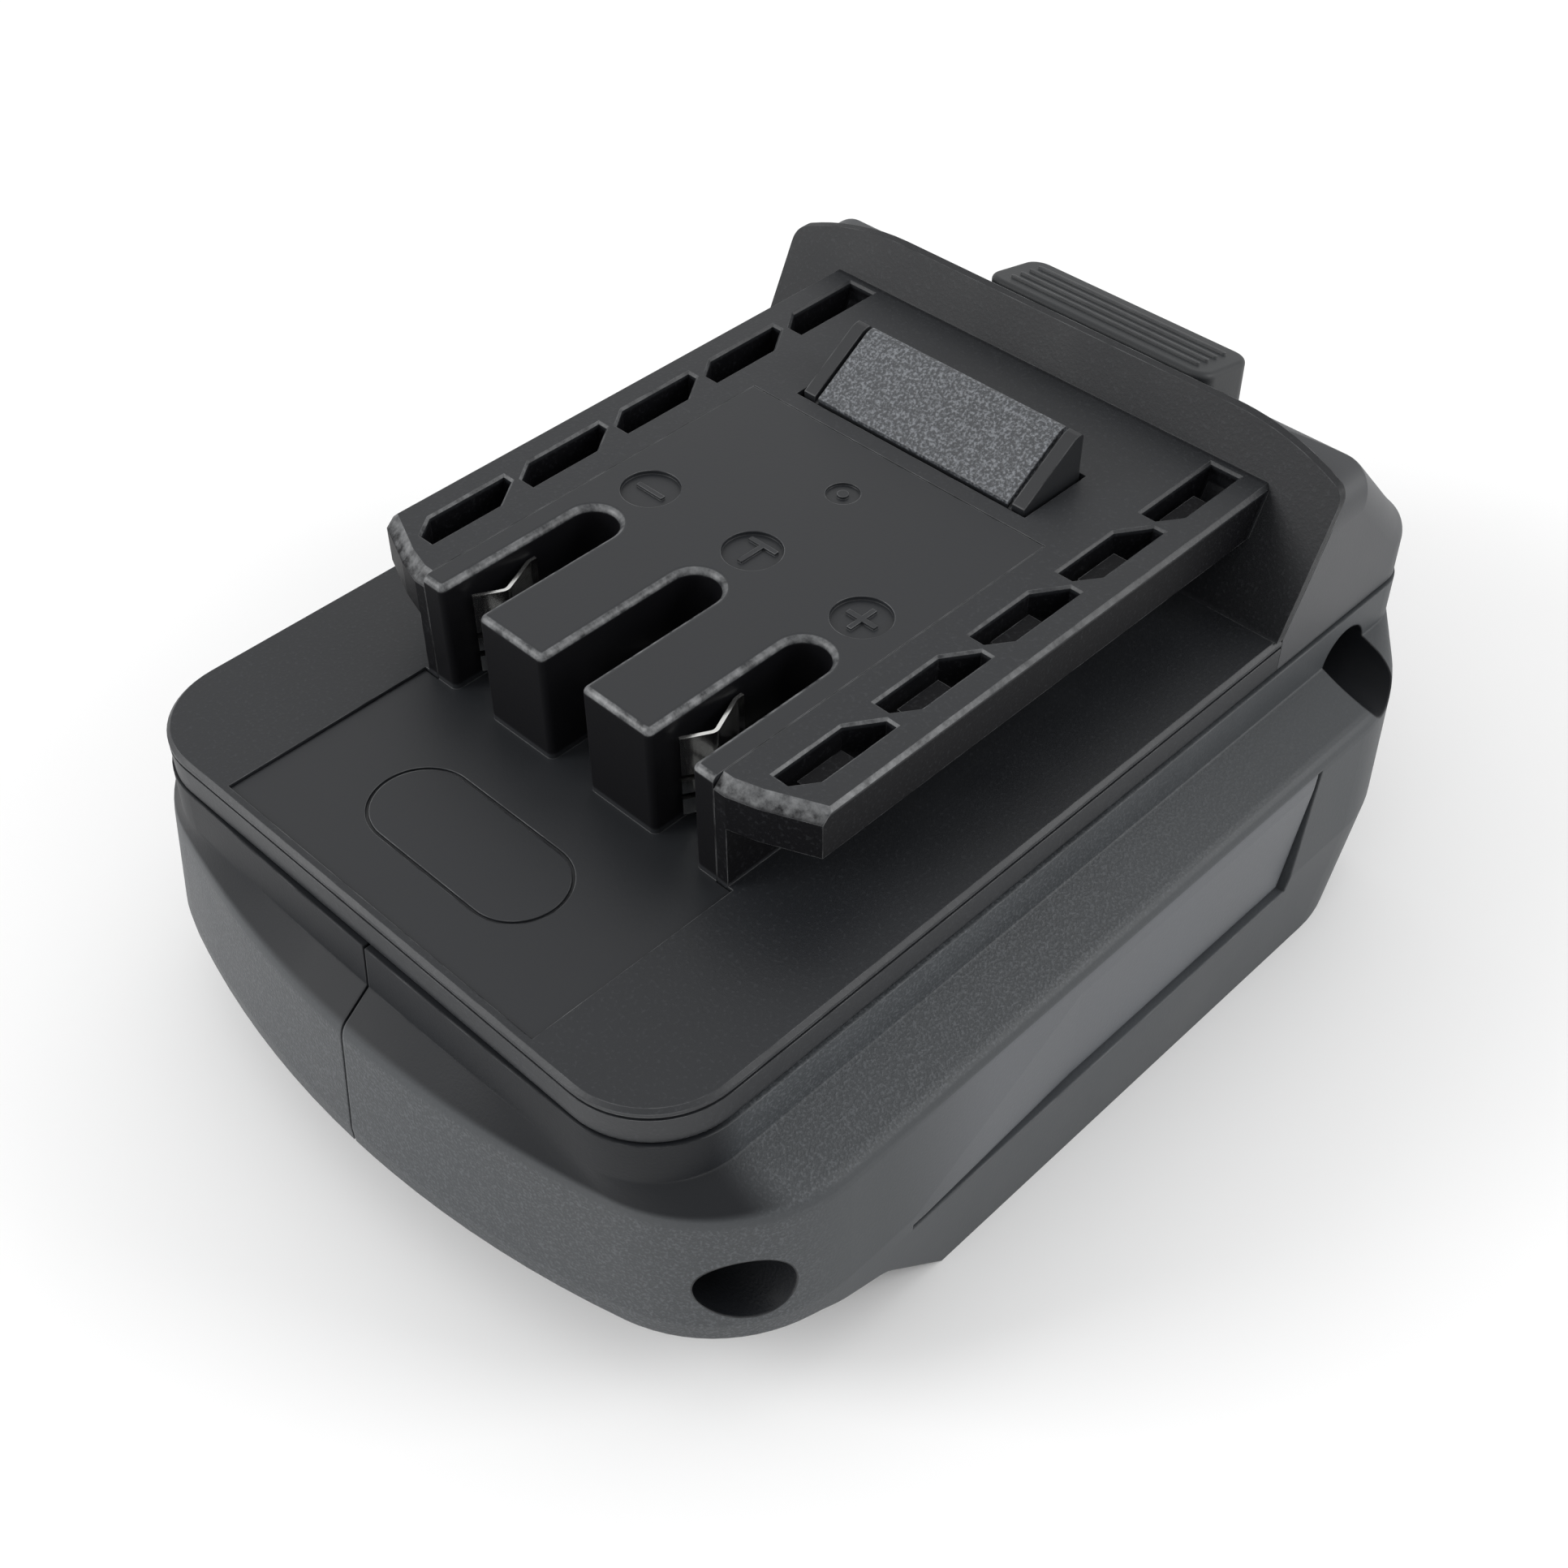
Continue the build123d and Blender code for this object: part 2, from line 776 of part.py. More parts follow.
with BuildPart() as cover_hollow:
    inner_half = tray_half - cover_wall
    extrude(cover_profile(cover_wall), amount=inner_half, both=True)
    fillet(cover_hollow.edges().filter_by(Axis.Z).group_by(Axis.Y)[-1], cover_corner - cover_wall)
    ceiling = over(cover_top_height) - cover_wall
    hollow_arch = arch(inner_half, ceiling, cover_side_drop, cover_edge - cover_wall)
    extrude(hollow_arch, amount=case_length, both=True, mode=Mode.INTERSECT)

with BuildPart() as rear_cover:
    extrude(cover_profile(0), amount=tray_half, both=True)
    fillet(rear_cover.edges().filter_by(Axis.Z).group_by(Axis.Y)[-1], cover_corner)
    upper = rear_cover.edges().filter_by(lambda e: e.center().Z > over(0) and e.center().Y > back(wall_root))
    shoulders = upper.filter_by(
        lambda e: abs(e.center().X) > tray_half - cover_corner or e.center().Y > case_rear_y - seat_play
    )
    fillet(shoulders.filter_by(lambda e: abs(e.tangent_at(0).Z) < 1), cover_edge)
    cover_arch = arch(tray_half, over(cover_top_height), cover_side_drop, cover_edge)
    extrude(cover_arch, amount=case_length, both=True, mode=Mode.INTERSECT)
    add(cover_hollow.part, mode=Mode.SUBTRACT)
    lean_block(tray_half + overrun, -case_length, wall_edge + joint_play, 0, wall_top_height, Mode.SUBTRACT)
    joint_y = back(wall_root) + wall_edge + joint_play
    cover_room = tray_half + overrun
    slab(-cover_room, cover_room, back(0), joint_y, seam_z, floor_height + seat_play, Mode.SUBTRACT)
    wall_room = wall_inner_half + joint_play
    lean_block(wall_room, 0, wall_run + joint_play, wall_low, wall_shelf + joint_play, Mode.SUBTRACT)

    # Opening for the button
    button_room = button_width / 2 + running_play
    button_room_front = back(button_front) - running_play
    button_room_back = back(button_back) + running_play
    button_room_top = over(wall_top_height)
    slab(
        -button_room,
        button_room,
        button_room_front,
        button_room_back,
        seam_z,
        button_room_top,
        Mode.SUBTRACT,
    )
save(rear_cover, "rear_cover")


# Case halves: five outlines, each a bowed front, tangent front corners, straight sides and a rounded rear
def case_section(height, half, front_y, bow, corner_span, rear_y, rear_corner):
    bow_x = half - corner_span
    bow_y = front_y + bow
    bow_radius = (bow_x**2 + bow**2) / (2 * bow)
    turn = math.asin(bow_x / bow_radius)
    tangent = corner_span / math.cos(turn)
    side_y = bow_y + tangent * (1 + math.sin(turn))
    corner_radius = tangent * math.tan((math.pi / 2 + turn) / 2)
    middle = (math.pi / 2 + turn) / 2
    middle_x = half - corner_radius * (1 - math.sin(middle))
    middle_y = side_y - corner_radius * math.cos(middle)
    rear_side_y = rear_y - rear_corner
    rear_x = half - rear_corner
    with BuildSketch(Plane.XY.offset(height)) as outline:
        with BuildLine():
            ThreePointArc((-bow_x, bow_y), (0, front_y), (bow_x, bow_y))
            ThreePointArc((bow_x, bow_y), (middle_x, middle_y), (half, side_y))
            Line((half, side_y), (half, rear_side_y))
            RadiusArc((half, rear_side_y), (rear_x, rear_y), -rear_corner)
            Line((rear_x, rear_y), (-rear_x, rear_y))
            RadiusArc((-rear_x, rear_y), (-half, rear_side_y), -rear_corner)
            Line((-half, rear_side_y), (-half, side_y))
            ThreePointArc((-half, side_y), (-middle_x, middle_y), (-bow_x, bow_y))
        make_face()
    return outline.sketch.face()


# Each row: height, width, front setback, bow, front corner span, rear lean, rear corner
seam_row = (seam_z, seam_width, seam_setback, seam_bow, top_corner_span, 0, top_rear_corner)
band_row = (band_z, seam_width, band_setback, band_bow, top_corner_span, 0, top_rear_corner)
crease_row = (crease_z, crease_width, crease_setback, crease_bow, belly_corner_span, 0, belly_rear_corner)
belly_row = (belly_z, case_width, 0, belly_bow, belly_corner_span, belly_rear_lean, belly_rear_corner)
bottom_row = (
    0,
    bottom_width,
    bottom_setback,
    belly_bow,
    belly_corner_span,
    bottom_rear_lean,
    belly_rear_corner,
)


def blend(first, second, share):
    """The row that lies this share of the way from the first to the second."""
    return tuple(a + (b - a) * share for a, b in zip(first, second))


def soft_crease():
    """The crease as a small curve between the shoulder and the wall below."""
    shoulder_run = math.hypot((crease_width - seam_width) / 2, crease_depth - band_depth)
    above = blend(crease_row, band_row, crease_edge / shoulder_run)
    below = blend(crease_row, belly_row, crease_edge / (crease_z - belly_z))
    rows = []
    for step in range(crease_steps + 1):
        share = step / crease_steps
        rows.append(blend(blend(above, crease_row, share), blend(crease_row, below, share), share))
    return rows


def case_sections(inset, rows):
    """The outlines of these rows, drawn in by the inset."""
    sections = []
    for height, width, setback, bow, span, lean, rear_corner in rows:
        half = width / 2 - inset
        front_y = case_front_y + setback + inset
        rear_y = case_rear_y - lean - inset
        sections.append(case_section(height, half, front_y, bow, span, rear_y, rear_corner - inset))
    return sections


def at_height(row, height):
    """The same outline at another height."""
    return (height, *row[1:])


with BuildPart() as case_outside:
    loft(case_sections(0, [seam_row, band_row, *soft_crease(), belly_row, bottom_row]), ruled=True)

with BuildPart() as case_inside:
    inner_rows = (
        at_height(seam_row, seam_z + overrun),
        at_height(band_row, band_z - shoulder_drop),
        at_height(crease_row, crease_z - shoulder_drop),
        belly_row,
        at_height(bottom_row, -overrun),
    )
    loft(case_sections(case_wall, inner_rows), ruled=True)
    plate_half = case_width / 2
    slab(-plate_half, plate_half, case_front_y, back(front_plate_back), base_z, belly_z, Mode.SUBTRACT)

with BuildPart() as under_cut:
    # What is missing below the front, in side view
    with BuildSketch(Plane.YZ) as step:
        with BuildLine():
            Polyline(
                (case_front_y - overrun, base_z),
                (back(skirt_start), base_z),
                (back(skirt_step_back), base_z - skirt_step_drop),
                (back(skirt_foot_back), 0),
                (back(skirt_foot_back), -overrun),
                (case_front_y - overrun, -overrun),
                close=True,
            )
        make_face()
        bends = step.vertices().filter_by(lambda v: base_z + seat_play > v.Y > 0 and v.X > back(0))
        fillet(bends, skirt_bend)
    extrude(amount=case_width, both=True)

with BuildPart() as panel_cut:
    # The sunk side panels: they fade out at the front and end in a slant at the rear
    panel_x = case_width / 2
    panel_end = back(panel_back_high) + overrun
    with BuildSketch():
        for side in (-1, 1):
            with BuildLine():
                Polyline(
                    (side * panel_x, back(panel_front)),
                    (side * (panel_x - panel_sink), back(panel_fade_back)),
                    (side * (panel_x - panel_sink), panel_end),
                    (side * (panel_x + overrun), panel_end),
                    (side * (panel_x + overrun), back(panel_front)),
                    close=True,
                )
            make_face()
    extrude(amount=floor_height)
    with BuildSketch(Plane.YZ):
        with BuildLine():
            Polyline(
                (back(panel_front), over(-panel_low_depth)),
                (back(panel_back_low), over(-panel_low_depth)),
                (back(panel_back_high), over(-panel_high_depth)),
                (back(panel_front), over(-panel_high_depth)),
                close=True,
            )
        make_face()
    extrude(amount=case_width, both=True, mode=Mode.INTERSECT)

with BuildPart() as groove_cut:
    # A fine groove along the lower and rear edges of each panel
    groove_x = panel_x - panel_groove_sink
    with BuildSketch():
        for side in (-1, 1):
            with BuildLine():
                Polyline(
                    (side * groove_x, back(panel_front)),
                    (side * (groove_x - panel_sink), back(panel_fade_back)),
                    (side * (groove_x - panel_sink), panel_end),
                    (side * (panel_x + overrun), panel_end),
                    (side * (panel_x + overrun), back(panel_front)),
                    close=True,
                )
            make_face()
    extrude(amount=floor_height)
    with BuildSketch(Plane.YZ):
        with BuildLine():
            Polyline(
                (back(panel_front), over(-panel_low_depth)),
                (back(panel_back_low), over(-panel_low_depth)),
                (back(panel_back_high), over(-panel_high_depth)),
                (back(panel_back_high) - panel_groove, over(-panel_high_depth)),
                (back(panel_back_low) - panel_groove, over(-panel_low_depth) + panel_groove),
                (back(panel_front), over(-panel_low_depth) + panel_groove),
                close=True,
            )
        make_face()
    extrude(amount=case_width, both=True, mode=Mode.INTERSECT)

screw_axes = (
    (back(front_screw_back), over(-front_screw_depth)),
    (back(rear_screw_back), over(-rear_screw_depth)),
)
post_diameter_x = screw_clear_diameter + 2 * screw_post_wall
tube_diameter = screw_recess_diameter + 2 * screw_tube_wall
screw_end_x = screw_seat_x - screw_length

with BuildPart() as case_posts:
    # Screw posts across the case, kept within its outer surface
    for y, z in screw_axes:
        cross_rod(y, z, post_diameter_x, -case_width / 2, case_width / 2)
        cross_rod(y, z, tube_diameter, screw_seat_x - screw_floor, case_width / 2)
    add(case_outside.part, mode=Mode.INTERSECT)

with BuildPart() as case_shell:
    add(case_outside.part)
    add(case_inside.part, mode=Mode.SUBTRACT)
    add(under_cut.part, mode=Mode.SUBTRACT)
    gate_y = case_rear_y + overrun
    slab(-gate_half, gate_half, back(socket_back), gate_y, -overrun, cradle_top, Mode.SUBTRACT)
    add(panel_cut.part, mode=Mode.SUBTRACT)
    add(groove_cut.part, mode=Mode.SUBTRACT)
    add(case_posts.part)
    for y, z in screw_axes:
        cross_rod(y, z, screw_recess_diameter, screw_seat_x, case_width, Mode.SUBTRACT)
        cross_rod(y, z, screw_clear_diameter, 0, case_width, Mode.SUBTRACT)
        cross_rod(y, z, screw_diameter + 2 * seat_play, screw_end_x - overrun, 0, Mode.SUBTRACT)

with BuildPart() as left_case:
    add(case_shell.part)
    slab(-case_split, case_width, case_front_y, case_rear_y, -overrun, floor_height, Mode.SUBTRACT)
save(left_case, "left_case")

with BuildPart() as right_case:
    add(case_shell.part)
    slab(-case_width, case_split, case_front_y, case_rear_y, -overrun, floor_height, Mode.SUBTRACT)
save(right_case, "right_case")


# Pack socket
with BuildPart() as pack_socket:
    cradle_wall = cradle_half + socket_wall
    socket_front_y = back(socket_front)
    socket_back_y = back(socket_back)
    slab(-cradle_wall, cradle_wall, socket_front_y, socket_back_y, cradle_top, socket_top)
    slab(-cradle_wall, cradle_wall, socket_front_y, socket_front_y + socket_wall, base_z, cradle_top)
    for side in (-1, 1):
        near, far = sorted((side * cradle_half, side * cradle_wall))
        slab(near, far, socket_front_y, socket_back_y, lip_top, cradle_top)
        near, far = sorted((side * throat_half, side * cradle_wall))
        slab(near, far, socket_front_y, socket_back_y, base_z, lip_top)
        near, far = sorted((side * cradle_wall, side * socket_half))
        slab(near, far, socket_front_y, socket_back_y, base_z, base_z + socket_wall)
        for place in gusset_places:
            gusset_y = back(place)
            slab(near, far, gusset_y, gusset_y + gusset_thickness, base_z, base_z + gusset_height)

    # Columns and screw holes for the tray, screwed from inside the cradle
    column_top = boss_low
    head_seat = cradle_top + socket_screw_sink
    rods(column_spots, column_diameter, socket_top - seat_play, column_top)
    rods(column_spots, socket_screw_head + 2 * running_play, cradle_top - overrun, head_seat, Mode.SUBTRACT)
    rods(column_spots, socket_screw_clear, cradle_top, column_top + overrun, Mode.SUBTRACT)

    # Board posts and spring pins
    rods(post_spots, post_diameter, socket_top - seat_play, board_z)
    board_screw_bore = board_screw_diameter + 2 * seat_play
    rods(post_spots, board_screw_bore, board_top - board_screw_length - seat_play, board_z, Mode.SUBTRACT)
    rods(leg_spots, spring_pin_diameter, socket_top - seat_play, socket_top + spring_pin_height)

    # Catch for the pack's own latch, and slots for the blade tails
    catch_y = back(catch_front)
    catch_half = catch_width / 2
    slab(-catch_half, catch_half, catch_y, catch_y + catch_length, cradle_top, socket_top, Mode.SUBTRACT)
    blade_spots = (-blade_spacing, 0, blade_spacing)
    tail_room = blade_thickness / 2 + seat_play
    tail_y = back(blade_root)
    for x in blade_spots:
        slab(
            x - tail_room,
            x + tail_room,
            tail_y - seat_play,
            tail_y + blade_tail_length + seat_play,
            cradle_top,
            socket_top,
            Mode.SUBTRACT,
        )
save(pack_socket, "pack_socket")


# Latch hook: the hook, its slider bar and the legs over the springs, moulded as one
def wedge_z(y):
    """Height of the hook's slanted front face at this Y."""
    share = (y - back(hook_front)) / (hook_tip_back - hook_front)
    return flange_top + hook_toe + (hook_height - hook_toe) * share


hook_bottom = flange_top - hook_body_depth
bar_bottom = over(slider_bar_rise)
bar_top = bar_bottom + slider_bar_height
with BuildPart() as latch_hook:
    with BuildSketch(Plane.YZ):
        with BuildLine():
            Polyline(
                (back(hook_front), hook_bottom),
                (back(hook_front), wedge_z(back(hook_front))),
                (back(hook_tip_back), wedge_z(back(hook_tip_back))),
                (back(hook_back), wedge_z(back(hook_tip_back))),
                (back(hook_back), hook_bottom),
                close=True,
            )
        make_face()
    extrude(amount=hook_width / 2, both=True)
    crest = latch_hook.edges().filter_by(Axis.X).group_by(Axis.Z)[-1]
    chamfer(crest, hook_edge)
    hook_hollow_half = hook_width / 2 - hook_wall
    hook_hollow_front = back(hook_front) + hook_wall
    hook_hollow_back = back(hook_back) - hook_wall
    hook_hollow_top = flange_top - hook_wall
    slab(
        -hook_hollow_half,
        hook_hollow_half,
        hook_hollow_front,
        hook_hollow_back,
        hook_bottom - overrun,
        hook_hollow_top,
        Mode.SUBTRACT,
    )

    # Fine slits that set off the coarse middle of the hook's face
    with BuildSketch(Plane.YZ) as slit:
        with BuildLine():
            Polyline(
                (back(hook_front) - overrun, wedge_z(back(hook_front) - overrun) - hook_slit_depth),
                (back(hook_front) - overrun, wedge_z(back(hook_back)) + overrun),
                (back(hook_back) + overrun, wedge_z(back(hook_back)) + overrun),
                (back(hook_back) + overrun, wedge_z(back(hook_tip_back)) - hook_slit_depth),
                (back(hook_tip_back), wedge_z(back(hook_tip_back)) - hook_slit_depth),
                close=True,
            )
        make_face()
    for side in (-1, 1):
        slit_face = slit.sketch.moved(Location((side * hook_slit_x, 0, 0)))
        extrude(slit_face, amount=hook_slit_width / 2, both=True, mode=Mode.SUBTRACT)

    # Slider bar, legs with their spring pockets, and pegs for the button
    bar_half = slider_bar_width / 2
    slab(-bar_half, bar_half, back(hook_front), back(slider_bar_back), bar_bottom, bar_top)
    leg_bottom = bar_bottom - leg_length
    rods(leg_spots, leg_diameter, leg_bottom, bar_top)
    pocket_top = leg_bottom + spring_pocket_depth
    rods(leg_spots, spring_pocket_diameter, leg_bottom - overrun, pocket_top, Mode.SUBTRACT)
    rods(peg_spots, peg_diameter, bar_top - seat_play, bar_top + peg_height)
save(latch_hook, "latch_hook")


# Release button, pressed onto the slider bar's pegs
with BuildPart() as release_button:
    button_bottom = over(button_skirt_height)
    with BuildSketch(Plane.YZ):
        with BuildLine():
            Polyline(
                (back(button_front), button_bottom),
                (back(button_front), over(button_front_height)),
                (back(button_back), over(button_back_height)),
                (back(button_back), button_bottom),
                close=True,
            )
        make_face()
    extrude(amount=button_width / 2, both=True)
    fillet(release_button.edges().filter_by(Axis.Z), button_corner)
    top_face = release_button.faces().sort_by(Axis.Z)[-1]
    top_plane = Plane(top_face.center(), x_dir=(1, 0, 0), z_dir=top_face.normal_at())
    fillet(top_face.edges(), button_edge)

    # Ribs for the thumb
    rib_span = button_back - button_front - 2 * button_rib_inset
    rib_length = button_width - 2 * button_rib_inset
    with BuildSketch(top_plane) as ribs:
        with GridLocations(0, rib_span / (button_rib_count - 1), 1, button_rib_count):
            SlotOverall(rib_length, button_rib_width)
    extrude(amount=button_rib_height)

    # Hollow underside, room for the slider bar, and two bosses for the pegs
    hollow_top = over(button_back_height) - button_wall
    hollow_x = button_width / 2 - button_wall
    hollow_low_y = back(button_front) + button_wall
    hollow_high_y = back(button_back) - button_wall
    hollow_z = button_bottom - overrun
    slab(-hollow_x, hollow_x, hollow_low_y, hollow_high_y, hollow_z, hollow_top, Mode.SUBTRACT)
    bar_pocket = bar_half + running_play
    bar_pocket_back = back(slider_bar_back) + running_play
    bar_seat = bar_top + seat_play
    bar_low = bar_bottom - overrun
    slab(-bar_pocket, bar_pocket, back(button_front), bar_pocket_back, bar_low, bar_seat, Mode.SUBTRACT)
    rods(peg_spots, peg_diameter + 2 * peg_boss_wall, bar_seat, hollow_top + seat_play)
    peg_room = peg_diameter + 2 * seat_play
    rods(peg_spots, peg_room, bar_low, bar_top + peg_height + seat_play, Mode.SUBTRACT)
save(release_button, "release_button")


# Latch springs, standing on the pack socket inside the slider's legs
spring_radius = (spring_diameter - spring_wire) / 2
spring_low = socket_top + seat_play + spring_wire / 2
spring_high = pocket_top - seat_play - spring_wire / 2
spring_rise = spring_high - spring_low
spring_pitch = spring_rise / spring_turns
for name, spot in zip(("latch_spring_left", "latch_spring_right"), leg_spots):
    with BuildPart() as latch_spring:
        with BuildLine() as coil:
            Helix(spring_pitch, spring_rise, spring_radius, center=(*spot, spring_low))
        with BuildSketch(Plane(coil.line @ 0, z_dir=coil.line % 0)):
            Circle(spring_wire / 2)
        sweep(path=coil.line, is_frenet=True)
    save(latch_spring, name)
pressed_share = (spring_rise - latch_travel) / spring_rise
print("least gap between spring turns at rest", round(spring_pitch - spring_wire, 2))
print("spring pitch with the button pressed", round(spring_pitch * pressed_share, 2))


# Spring contacts in the three slots: each is one folded strip, open to the front
def leaf(x, side, shift):
    """One leaf seen from above: it opens at the mouth and nears its neighbour at the apex."""
    near = leaf_gap / 2 + leaf_thickness / 2
    with BuildSketch(Plane.XY.offset(over(leaf_low))) as strip:
        with BuildLine():
            FilletPolyline(
                (x + side * leaf_mouth_half, back(leaf_front + shift)),
                (x + side * near, back(leaf_apex + shift)),
                (x + side * leaf_body_half, back(leaf_heel + shift)),
                (x + side * leaf_body_half, back(leaf_back) - leaf_thickness),
                radius=leaf_bend,
            )
        trace(line_width=leaf_thickness)
    return strip.sketch


def contact(x, shift, high, far_high):
    """Two leaves joined by a lower body that wraps round the carrier's tower."""
    with BuildPart() as folded:
        extrude(leaf(x, -1, shift), amount=high - leaf_low)
        extrude(leaf(x, 1, shift), amount=far_high - leaf_low)
        slab(
            x - slot_half,
            x + slot_half,
            back(leaf_heel + shift) + leaf_bend,
            back(leaf_back),
            over(leaf_body_high),
            over(high) + overrun,
            Mode.SUBTRACT,
        )
        body_end = leaf_body_half + leaf_thickness / 2
        body_front = back(leaf_back) - leaf_thickness
        slab(x - body_end, x + body_end, body_front, back(leaf_back), over(leaf_low), over(leaf_body_high))
        slit_pitch = (far_high - leaf_low) / (leaf_slit_count + 1)
        for number in range(leaf_slit_count):
            slit_low = over(leaf_low + slit_pitch * (number + 1)) - leaf_slit_height / 2
            slab(
                x - slot_half,
                x + slot_half,
                back(leaf_front) - overrun,
                back(leaf_heel + shift),
                slit_low,
                slit_low + leaf_slit_height,
                Mode.SUBTRACT,
            )
        slab(
            x - tail_half,
            x + tail_half,
            back(leaf_back) - leaf_thickness,
            back(leaf_back),
            board_top + seat_play,
            over(leaf_low) + seat_play,
        )
    return folded


contact_rows = (
    ("negative_contact", -slot_spacing, 0, leaf_high, leaf_far_high),
    ("signal_contact", 0, signal_shift, signal_high, signal_high),
    ("positive_contact", slot_spacing, 0, leaf_high, leaf_far_high),
)
for name, x, shift, high, far_high in contact_rows:
    save(contact(x, shift, high, far_high), name)


# Contact carrier: stands on the board under the slots, with a tower inside each contact
with BuildPart() as contact_carrier:
    carrier_top = floor_bottom - seat_play
    carrier_bottom = carrier_top - carrier_thickness
    slab(-carrier_half, carrier_half, back(carrier_front), back(carrier_back), carrier_bottom, carrier_top)
    for x in slot_centres:
        tower_back = back(leaf_back) - leaf_thickness - seat_play
        slab(
            x - tower_half,
            x + tower_half,
            back(tower_front),
            tower_back,
            carrier_top - seat_play,
            carrier_top + tower_height,
        )
        slab(
            x - tail_half - seat_play,
            x + tail_half + seat_play,
            back(leaf_back) - leaf_thickness - seat_play,
            back(leaf_back) + seat_play,
            carrier_bottom,
            carrier_top,
            Mode.SUBTRACT,
        )
    foot_x = slot_spacing / 2
    foot_places = (back(carrier_front + carrier_foot_inset), back(carrier_back - carrier_foot_inset))
    foot_spots = [(side * foot_x, y) for side in (-1, 1) for y in foot_places]
    rods(foot_spots, carrier_foot_diameter, board_top + seat_play, carrier_bottom)
save(contact_carrier, "contact_carrier")


# Circuit board
with BuildPart() as circuit_board:
    slab(-board_half, board_half, back(board_front), back(board_back), board_z, board_top)
    fillet(circuit_board.edges().filter_by(Axis.Z), board_corner)
    rods(post_spots, board_screw_clear, board_z - overrun, board_top + overrun, Mode.SUBTRACT)
save(circuit_board, "circuit_board")

with BuildPart() as control_chip:
    chip_y = back(component_back)
    chip_low = board_top + chip_lift
    half_x = chip_width / 2
    half_y = chip_depth / 2
    chip_high = board_top + chip_height
    slab(chip_x - half_x, chip_x + half_x, chip_y - half_y, chip_y + half_y, chip_low, chip_high)
    leg_end = half_y + chip_leg_reach
    with BuildSketch(Plane.XY.offset(board_top + seat_play)):
        with Locations((chip_x, chip_y)):
            with GridLocations(chip_width / chip_leg_count, 0, chip_leg_count, 1):
                Rectangle(chip_leg_width, 2 * leg_end)
    extrude(amount=chip_leg_height)
save(control_chip, "control_chip")

with BuildPart() as fuse:
    fuse_y = back(component_back)
    fuse_low = board_top + seat_play
    half_x = fuse_width / 2
    half_y = fuse_depth / 2
    fuse_high = board_top + fuse_height
    slab(fuse_x - half_x, fuse_x + half_x, fuse_y - half_y, fuse_y + half_y, fuse_low, fuse_high)
    cap_y = half_y + fuse_cap_rise
    cap_top = board_top + fuse_height + fuse_cap_rise
    for side in (-1, 1):
        near, far = sorted((side * half_x, side * (half_x - fuse_cap)))
        slab(fuse_x + near, fuse_x + far, fuse_y - cap_y, fuse_y + cap_y, fuse_low, cap_top)
save(fuse, "fuse")

with BuildPart() as capacitor:
    capacitor_z = board_top + seat_play + capacitor_diameter / 2
    capacitor_low_x = capacitor_x - capacitor_length / 2
    cross_rod(
        back(component_back),
        capacitor_z,
        capacitor_diameter,
        capacitor_low_x,
        capacitor_low_x + capacitor_length,
    )
    fillet(capacitor.edges().filter_by(GeomType.CIRCLE), capacitor_edge)
save(capacitor, "capacitor")


# Blade block and the blades that enter the battery pack
with BuildPart() as blade_block:
    block_front = socket_front_y + socket_wall + seat_play
    block_top = cradle_top - seat_play
    block_back = back(blade_block_back)
    block_low = block_top - blade_block_drop
    slab(-blade_block_half, blade_block_half, block_front, block_back, block_low, block_top)
    for x in blade_spots:
        slab(
            x - tail_room,
            x + tail_room,
            tail_y - seat_play,
            block_back + overrun,
            cradle_top - blade_top_play - blade_height - seat_play,
            block_top + overrun,
            Mode.SUBTRACT,
        )
save(blade_block, "blade_block")

blade_top = cradle_top - blade_top_play
tail_top = socket_top + blade_tail_rise
for name, x in zip(("negative_blade", "signal_blade", "positive_blade"), blade_spots):
    with BuildPart() as blade:
        with BuildSketch(Plane.YZ.offset(x)) as shape:
            with BuildLine():
                Polyline(
                    (tail_y, blade_top - blade_height),
                    (back(blade_tip) - blade_tip_chamfer, blade_top - blade_height),
                    (back(blade_tip), blade_top - blade_height + blade_tip_chamfer),
                    (back(blade_tip), blade_top - blade_tip_chamfer),
                    (back(blade_tip) - blade_tip_chamfer, blade_top),
                    (tail_y + blade_tail_length, blade_top),
                    (tail_y + blade_tail_length, tail_top),
                    (tail_y, tail_top),
                    close=True,
                )
            make_face()
        extrude(amount=blade_thickness / 2, both=True)
    save(blade, name)

# Leads from the blade tails to the board
lead_start = tail_y + blade_tail_length / 2
lead_z = board_top + seat_play + lead_diameter / 2
for name, x in zip(("negative_lead", "signal_lead", "positive_lead"), blade_spots):
    with BuildPart() as lead:
        with BuildLine() as route:
            FilletPolyline(
                (x, lead_start, tail_top),
                (x, lead_start, lead_z),
                (x, back(lead_landing), lead_z),
                radius=lead_bend,
            )
        with BuildSketch(Plane(route.line @ 0, z_dir=route.line % 0)):
            Circle(lead_diameter / 2)
        sweep(path=route.line)
    save(lead, name)


# Screws
def cross_recess(head_diameter):
    """A cross drive, seen from outside the head."""
    with BuildSketch() as cross:
        Rectangle(head_diameter * drive_share, drive_width)
        Rectangle(drive_width, head_diameter * drive_share)
    return cross.sketch


def screw_group(planes, head, head_height, shank, length):
    """Equal screws: each plane sits on a head's outer face and looks out of it."""
    with BuildPart() as group:
        for plane in planes:
            seat = plane.offset(-head_height)
            with BuildSketch(seat) as head_end:
                Circle(head / 2)
            extrude(head_end.sketch, amount=head_height)
            with BuildSketch(seat.offset(-length)) as shank_end:
                Circle(shank / 2)
            extrude(shank_end.sketch, amount=length)
            with BuildSketch(plane.offset(-drive_depth)) as recess:
                add(cross_recess(head))
            extrude(recess.sketch, amount=drive_depth + overrun, mode=Mode.SUBTRACT)
    return group


